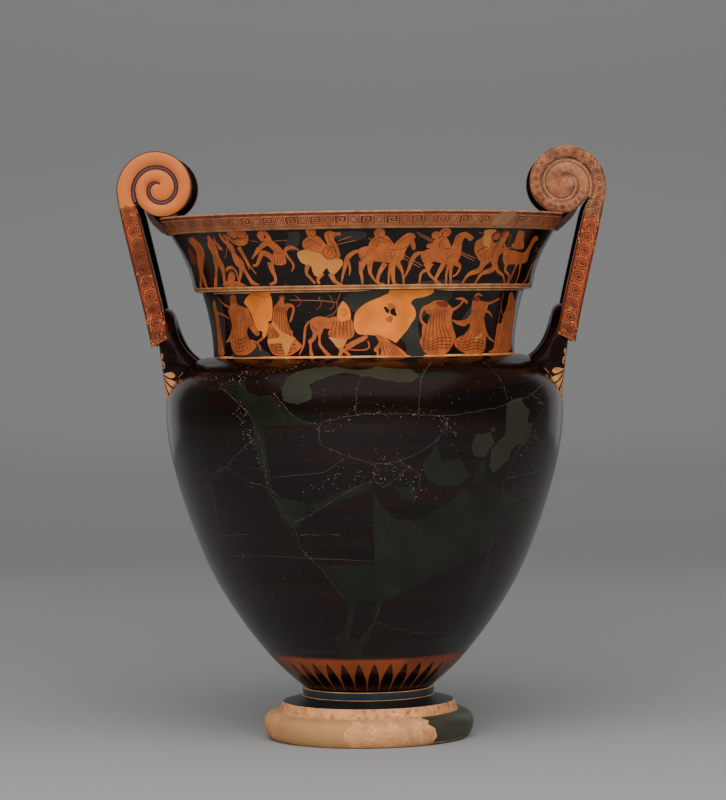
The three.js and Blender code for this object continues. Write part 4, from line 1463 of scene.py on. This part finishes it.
def handle(shell, volute, new):
    """One handle with its painting: the new volute is the plain modern one."""
    start = FIRST_TURN * TURN_LENGTH
    d = Drawing()
    if new:
        running_spirals(d, start + 2, JOIN - 1, DARK_SLIP, DARK_SLIP)
        flakes(d, start, 26, 60)
        flakes(d, JOIN - 4, 10, 30)
        d.put(
            [
                (JOIN, BELOW),
                (JOIN - 2, 4),
                (JOIN + 1.5, 7),
                (JOIN - 1, 11),
                (JOIN + 1, BEYOND),
                (COIL_END, BEYOND),
                (COIL_END, BELOW),
            ],
            VOLUTE_NEW,
        )
        rim = spread(JOIN, TURN_LENGTH * 0.98, 70)
        d.put([(u, 1.0) for u in rim] + [(u, BELOW) for u in rim[::-1]], PURPLE)
        # The groove's middle is painted in lighter purple as a highlight on its bead.
        looks = (PURPLE, PURPLE_HIGHLIGHT, PURPLE, VOLUTE_NEW)
    else:
        d.put(
            [
                (JOIN - 30, BELOW),
                (JOIN - 18, 8),
                (JOIN - 26, BEYOND),
                (COIL_END, BEYOND),
                (COIL_END, BELOW),
            ],
            VOLUTE_OLD,
        )
        running_spirals(d, start + 2, TURN_LENGTH * 0.95, DARK_SLIP, DARK_SLIP)
        flakes(d, start, 16, 30)
        flakes(d, TURN_LENGTH * 0.3, 150, 160)
        # The worn groove's middle takes the pale worn colour: partly wear, partly a painted highlight
        # on its bead.
        looks = (GROOVE_OLD, WORN_EDGE_AND_HIGHLIGHT, GROOVE_OLD, VOLUTE_OLD)
    for front in (-1, 1):
        flange_face(shell, volute, front, d.shapes, FLANGE_CLAY)
        flange_trim(shell, volute, front, *looks)
    roll_and_web(shell, volute)
    seat(shell, volute)
    handle_loop(shell, volute)


# ---- the vessel ---------------------------------------------------------------

VIEW_TURN = CAMERA_AZIMUTH  # the pictures face the photograph's viewpoint
SPLIT_STEPS = 240
WALL_RUN = [body_wall(k / SPLIT_STEPS) for k in range(SPLIT_STEPS + 1)]
WALL_LENGTH = 360


def wall_share(z):
    """How far along the body wall a height lies, 0 at the base and 1 at the neck."""
    heights = [point[1] for point in WALL_RUN]
    return float(np.interp(z, heights, np.linspace(0, 1, SPLIT_STEPS + 1)))


def on_wall(points):
    """Places (degrees from the front, height) points in the body wall's flat axes."""
    return [(math.radians(a) * BODY_RADIUS, wall_share(z) * WALL_LENGTH) for a, z in points]


def round_band(d, radius, low, high, slot):
    """A plain painted ring right round the pot."""
    edge = math.pi * radius
    across = spread(-edge, edge, AROUND)
    d.put([(u, low) for u in across] + [(u, high) for u in across[::-1]], slot)


RAYS, RAY_FOOT, RAY_TOP, ZONE_TOP = 38, 51, 79.4, 85.2


def rays(d):
    """Dark leaf-shaped rays on the reserved zone above the foot."""
    low, high = (wall_share(z) * WALL_LENGTH for z in (RAY_FOOT, RAY_TOP))
    zone = wall_share(ZONE_TOP) * WALL_LENGTH
    round_band(d, BODY_RADIUS, 0, zone, RAY_CLAY)
    round_band(d, BODY_RADIUS, zone - 2.4, zone, ZONE_EDGE)
    round_band(d, BODY_RADIUS, 0, low, BLACK)
    pitch = TAU * BODY_RADIUS / RAYS
    side = [(0.465, 0), (0.46, 0.15), (0.44, 0.4), (0.36, 0.62), (0.2, 0.83), (0.1, 0.93), (0.01, 1)]
    for k in range(RAYS):
        middle = (k + 0.5 - RAYS / 2) * pitch
        right = [(middle + w * pitch, lerp(low - 0.6, high, h)) for w, h in side]
        left = [(middle - w * pitch, lerp(low - 0.6, high, h)) for w, h in side]
        d.put(right + left[::-1], BLACK)


# Places on the body as (degrees from the front, height). The fills and cracks were worked
# out from the photograph by a helper program: see "Rules not met" in report.md.
WORN_PLACES = [
    ([(-60, 352), (-48, 350), (-34, 352), (-20, 362)], 90, 4),
    ([(-36, 320), (-33, 300), (-30, 270)], 60, 4),
    ([(-12, 306), (2, 318), (20, 314), (26, 300)], 70, 4),
    ([(4, 272), (12, 262), (17, 246)], 50, 5),
    ([(-14, 250), (-4, 262), (6, 258)], 40, 5),
    ([(60, 330), (58, 300), (50, 270)], 40, 5),
]
OLIVE_FILLS = [
    [
        (-23, 340), (-22, 330), (-18, 327), (-14, 331), (-14, 339), (-15, 345), (-12, 350),
        (-6, 355), (0, 352), (11, 346), (15, 346), (17, 351), (15, 357), (5, 360), (-1, 357),
        (-8, 361), (-14, 360), (-19, 357), (-22, 351),
    ],
    [
        (44, 325), (50, 329), (54, 317), (53, 306), (56, 303), (54, 291), (47, 281), (46, 271),
        (41, 260), (39, 265), (39, 282), (41, 288), (44, 297),
    ],
    [(33, 296), (38, 298), (40, 288), (38, 282), (37, 275), (33, 277), (32, 285)],
    [(37.8, 301), (39, 303), (40, 300), (39, 298)],
]
GREEN_FILLS = [
    [
        (-47, 347), (-37, 349), (-34, 339), (-30, 334), (-26, 336), (-19, 317), (-14, 308),
        (-29, 307), (-27.5, 285), (-27.6, 262), (-27.4, 241), (-29, 239), (-30.3, 266), (-31, 290),
        (-31.4, 310), (-34, 324), (-39, 335),
    ],
    [(-28, 241), (-16, 236), (-19, 220), (-22, 211), (-25, 215), (-27, 229)],
    [(-17, 232), (-8, 245), (3, 257), (3, 250), (-5, 240), (-15.5, 227)],
    [
        (3, 248), (5, 234), (10, 220), (17, 219), (23, 228), (28, 237), (30, 246), (37, 242),
        (42, 249), (52, 238), (61, 222), (59, 213), (51, 212), (47, 187), (39, 181), (25, 166),
        (7.6, 142), (-7.6, 144), (-15, 175), (-10, 178), (3.6, 178), (3, 218),
    ],
    [
        (-7.6, 146), (-6, 132), (-9, 112), (-15.7, 107), (-11.6, 85), (-3.5, 85), (2, 107),
        (5, 124), (6.5, 146), (4, 138), (3, 122), (-3, 105), (-8, 104), (-5, 128), (-3, 146),
    ],
    [
        (17, 270), (21, 288), (23, 272), (28, 276), (31, 264), (33, 259), (29, 250), (23, 250),
        (19, 256),
    ],
    [(33.5, 259), (36.5, 273), (38.6, 258), (38.3, 249), (34, 251)],
    [(9, 251), (16, 249), (15, 240), (14, 238), (11, 241)],
    [(35, 101), (46, 107), (45.7, 139), (46.6, 172), (48.2, 186), (50, 162), (54, 118), (57, 90)],
]
CRACKS = [
    [
        (-11.5, 310), (-3, 316), (6, 318), (16, 316), (25, 315), (36, 319), (45, 324), (55, 331),
        (66, 342),
    ],
    [
        (-11.5, 310), (-11.7, 292), (-6, 282), (-0.7, 276), (4, 272), (10.5, 275), (17, 284),
        (21, 293), (24, 306), (22.6, 315),
    ],
    [(-1.5, 317), (-1.1, 344), (1.8, 357)],
    [(15.3, 316), (16.5, 341), (18, 352), (22.5, 363)],
    [(3.5, 272), (3.1, 257)],
    [(3.5, 255), (6.4, 251), (10.6, 261), (12.7, 268), (10.5, 274)],
    [(9.8, 275), (14.2, 266), (16.5, 259), (15.4, 238)],
    [(-48.7, 261), (-43.6, 268), (-36.6, 257), (-29, 250), (-25.3, 241)],
    [(-53.8, 251), (-43.6, 268), (-31.3, 296)],
    [(-75, 224), (-53.8, 251), (-52.4, 237), (-54.5, 212), (-60.7, 180), (-66, 150)],
    [
        (56, 331), (61.4, 319), (56.3, 296), (49.6, 280), (46.8, 257), (45.4, 248), (50.4, 233),
        (72, 244),
    ],
    [(41.7, 364), (43.1, 353), (44.5, 327)],
    [(52.8, 287), (56.9, 268), (61.1, 258), (47, 255)],
    [(56.4, 293), (62.8, 286)],
    [(-29, 250), (-29.1, 285), (-31.4, 310), (-35, 324), (-45.3, 344)],
    [(-27.4, 241), (-22, 211), (-21.2, 194), (-15.3, 175), (-8.5, 147)],
    [(-21.6, 218), (-16.4, 225), (-3.7, 248), (2.8, 257)],
    [(-26.9, 260), (-11.4, 265), (-5.6, 276)],
    [(-72, 201), (-40.5, 205)],
    [(-20.6, 206), (-7.5, 207)],
    [(-62, 182), (-25.6, 185), (4.4, 181)],
    [(5.1, 122), (14.2, 114), (33.8, 108), (45.3, 110)],
    [(5.7, 141), (4, 124), (-2.8, 104), (-8.8, 112), (-6.1, 132)],
    [(-37.3, 91), (-11.1, 92)],
    [(72, 244), (48.8, 208), (46.9, 187), (45.7, 163), (45.7, 139), (52.5, 94)],
    [(-25.6, 338), (-23, 330), (-17.2, 313), (-11.5, 308)],
]


def broken_ring(points, pieces=5, jag=0.7):
    """A closed outline with straight, slightly ragged sides, like a broken edge."""
    ring_points = []
    for (ax, ay), (bx, by) in zip(points, points[1:] + points[:1]):
        for k in range(pieces):
            t = k / pieces
            x = lerp(ax, bx, t) + rng.uniform(-jag, jag)
            y = lerp(ay, by, t) + rng.uniform(-jag, jag)
            ring_points.append((x, y))
    return ring_points


def chips(d, points, count, spread_out, size):
    """Small pale flakes scattered along a run of points."""
    for _ in range(count):
        x, y = points[rng.randrange(len(points))]
        u = x + rng.gauss(0, spread_out)
        v = y + rng.gauss(0, spread_out)
        d.put(round_shape(u, v, size * rng.uniform(0.4, 1.3), size * rng.uniform(0.4, 1), 5), CHIP)


def body_painting():
    """The rays, the repairs, the cracks and the palmettes on the bowl's wall."""
    d = Drawing()
    rays(d)
    neck_line = wall_share(SHOULDER_TOP - 0.35) * WALL_LENGTH
    for slot, fills in ((GREEN, GREEN_FILLS), (OLIVE, OLIVE_FILLS)):
        for fill in fills:
            d.put(broken_ring(on_wall(fill)), slot)
    for crack in CRACKS:
        run = smooth_run(on_wall(crack), 6)
        widths = [0.15 + 0.45 * rng.random() for _ in run]
        jagged = [(u + rng.uniform(-0.6, 0.6), v + rng.uniform(-0.6, 0.6)) for u, v in run]
        d.put(stroke(jagged, widths), CRACK)
        chips(d, run, len(run) // 3, 1.5, 0.4)
    for places, count, spread_out in WORN_PLACES:
        chips(d, smooth_run(on_wall(places), 8), count, spread_out, 0.5)
    round_band(d, BODY_RADIUS, neck_line, WALL_LENGTH, RESERVED)
    side_palmettes(d)
    return d.shapes


RIM_RADIUS, RIM_SLANT = 193, 16
KEYS = 52


def rim_painting():
    """Meander keys by turns with crossed squares, in pale lines on a brown band."""
    d = Drawing()
    pitch = TAU * RIM_RADIUS / KEYS
    low, high = 4.4, 12.4
    for v, width in ((0.2, 0.8), (1.7, 0.45), (2.9, 0.45), (low - 0.5, 0.5), (high + 0.3, 0.5)):
        round_band(d, RIM_RADIUS, v, v + width, RIM_LINE)
    tall = high - low
    for k in range(KEYS):
        left = (k - KEYS / 2) * pitch
        key = d.at(left + 0.8, low)
        step = tall / 6
        key.straight(
            RIM_LINE,
            (0, 0),
            (0, tall),
            (11.4, tall),
            (11.4, step),
            (3.4, step),
            (3.4, tall - 1.7 * step),
            (8, tall - 1.7 * step),
            (8, 2.6 * step),
            (5.6, 2.6 * step),
            width=0.75,
        )
        square = d.at(left + 14.4, low)
        size = pitch - 15.6
        square.straight(RIM_LINE, (0, 0), (size, 0), (size, tall), (0, tall), (0, 0), width=0.6)
        square.straight(RIM_LINE, (1, 1), (size - 1, tall - 1), width=0.9)
        square.straight(RIM_LINE, (1, tall - 1), (size - 1, 1), width=0.9)
        for x, y in ((0.5, 0.2), (0.5, 0.8), (0.2, 0.5), (0.8, 0.5)):
            square.disc(RIM_LINE, x * size, y * tall, 0.6)
    tilt = ((39, 2), (45, 2), (47, 15.6), (41, 15.6))
    d.put([(math.radians(a + VIEW_TURN) * RIM_RADIUS * 0.985, v) for a, v in tilt], RIM_FILL)
    return d.shapes


def degrees_on(radius):
    """Turns degrees from the front into mm along a band drawn at the radius."""
    return lambda degrees: math.radians(degrees + VIEW_TURN) * radius


def vessel(shell):
    """Everything thrown on the wheel, from the hollow foot up and down into the bowl."""
    inner = FOOT_CONTACT - 9
    hollow = [(0.01, 42), (34, 42), (50, 32), (inner - 12, 16), (inner - 1, 2), (inner, 0)]
    turned_plain(shell, hollow, BARE)
    turned_plain(shell, [(inner, 0), (FOOT_CONTACT, 0)], BARE, smooth=False)
    foot(shell)
    turned_patch(shell, body_wall, 60, BODY_RADIUS, body_painting(), BLACK, WALL_LENGTH)
    tall = LEDGE_FOOT - SHOULDER_TOP
    d = Drawing()
    round_band(d, LOWER_RADIUS, -1, 1.4, RESERVED)
    round_band(d, LOWER_RADIUS, tall - 1.2, tall + 1, RESERVED)
    lower_frieze(d, degrees_on(LOWER_RADIUS), FRIEZE_GROUND)
    turned_patch(shell, lower_register, 10, LOWER_RADIUS, d.shapes, BLACK, tall)
    under = (LEDGE_RADIUS - 1, LEDGE_FOOT + 1)
    band = (LEDGE_RADIUS - 0.7, LEDGE_FOOT + 1.9)
    line = (LEDGE_RADIUS, LEDGE_TIP)
    turned_plain(shell, [lower_register(1), under], BLACK)
    turned_plain(shell, [under, band], RESERVED)
    turned_plain(shell, [band, line], LEDGE_CLAY)
    turned_plain(shell, [line, upper_wall(0)], RESERVED)
    d = Drawing()
    upper_frieze(d, degrees_on(UPPER_RADIUS), 0)
    tall = RIM_FOOT - 0.5 - PICTURE_FOOT
    turned_patch(shell, upper_wall, 17, UPPER_RADIUS, d.shapes, BLACK, tall)
    turned_plain(shell, [upper_register(1), (RIM_LOWER, RIM_FOOT)], RESERVED)
    turned_patch(shell, rim_face, 3, RIM_RADIUS, rim_painting(), RIM_CLAY, RIM_SLANT)
    lip = [
        rim_face(1),
        (RIM_UPPER - 0.4, RIM_TOP - 0.4),
        (RIM_UPPER - 1.5, RIM_TOP),
        (MOUTH_RADIUS + 1.5, RIM_TOP),
        (MOUTH_RADIUS, RIM_TOP - 2),
        (MOUTH_RADIUS - 3, RIM_FOOT + 3),
    ]
    turned_plain(shell, lip, WORN_EDGE_AND_HIGHLIGHT)
    inside = [
        (MOUTH_RADIUS - 3, RIM_FOOT + 3),
        (166, 468),
        (153, 441),
        (144, 428),
        (137, 405),
        (136, 368),
        *(shoulder(share, WALL) for share in (0.9, 0.6, 0.3)),
    ]
    for k in range(10):
        r, z = belly(1 - k / 10)
        inside.append((r - WALL - 4 * (k / 10) ** 2, z + 1))
    inside += [(54, 66), (30, 61), (0.01, 60)]
    turned_plain(shell, inside, BLACK)


def foot(shell):
    """The torus, the step, the black disc and the fillet ring."""
    lift = STEP_HEIGHT - TORUS_HEIGHT

    def torus(t):
        angle = (t - 0.5) * math.pi
        rise = TORUS_HEIGHT if t < 0.5 else lift
        pull = TORUS_RADIUS - (FOOT_CONTACT if t < 0.5 else STEP_RADIUS)
        return TORUS_RADIUS - pull * (1 - math.cos(angle)), TORUS_HEIGHT + rise * math.sin(angle)

    length, radius = 40, TORUS_RADIUS
    u = degrees_on(radius)
    d = Drawing()
    near_end = ((37, 3.4), (40, 14), (38, 22), (34, 27), (36, 31), (33, 36), (36, 41))
    far_end = ((158, 36), (154, 30), (157, 22), (153, 12))
    olive = [*near_end, *((a, 41) for a in range(40, 157, 2))]
    olive += [*far_end, *((a, 3.4) for a in range(156, 38, -2))]
    line = [*((a, 6) for a in range(38, 155, 2)), *((a, 7.6) for a in range(154, 37, -2))]
    fill = ((-58, 36), (-30, 37), (-13, 36), (-9, 30), (-14, 18))
    fill += ((-12, 8), (-30, 6), (-48, 8), (-56, 14), (-60, 26))
    d.put([(u(a), v) for a, v in olive], OLIVE_GLOSS)
    d.put([(u(a), v) for a, v in line], RESERVED)
    d.area(TAN_FILL, *((u(a), v) for a, v in fill))
    turned_patch(shell, torus, 16, radius, d.shapes, BARE, length)
    step = [
        torus(1),
        (STEP_RADIUS - 0.4, STEP_HEIGHT + 0.2),
        (DISC_RADIUS + 0.6, DISC_TOP - 1.4),
        (DISC_RADIUS - 0.6, DISC_TOP),
    ]
    turned_plain(shell, step, STEP_CLAY, smooth=False)
    disc = [step[-1], (RING_RADIUS + 4, RING_FOOT - 1.6), (RING_RADIUS + 0.5, RING_FOOT)]
    turned_plain(shell, disc, DISC_GLOSS)
    ring_foot = (RING_RADIUS - 0.8, RING_FOOT + 0.5)
    ring_edge = (RING_RADIUS, RING_TOP - 0.7)
    ring_top = (RING_RADIUS - 0.3, RING_TOP)
    turned_plain(shell, [disc[-1], ring_foot], RESERVED)
    turned_plain(shell, [ring_foot, (RING_RADIUS, RING_FOOT + 3), ring_edge], RING_GLOSS)
    turned_plain(shell, [ring_edge, ring_top], RESERVED)
    turned_plain(shell, [ring_top, (BASE_RADIUS, BODY_BASE)], BLACK)


shell = Shell()
vessel(shell)
handle(shell, Volute(-1, 2.8, 1.35, 2.2), new=True)
handle(shell, Volute(1, 3, 1.3, 2.6), new=False)
krater = shell.build("krater_mended", MATERIALS)
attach(krater, "root")
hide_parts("krater")

boxes = {"cad": CAD_BOX, "visual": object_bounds()}
{k: [list(map(float, corner)) for corner in v] for k, v in boxes.items()}
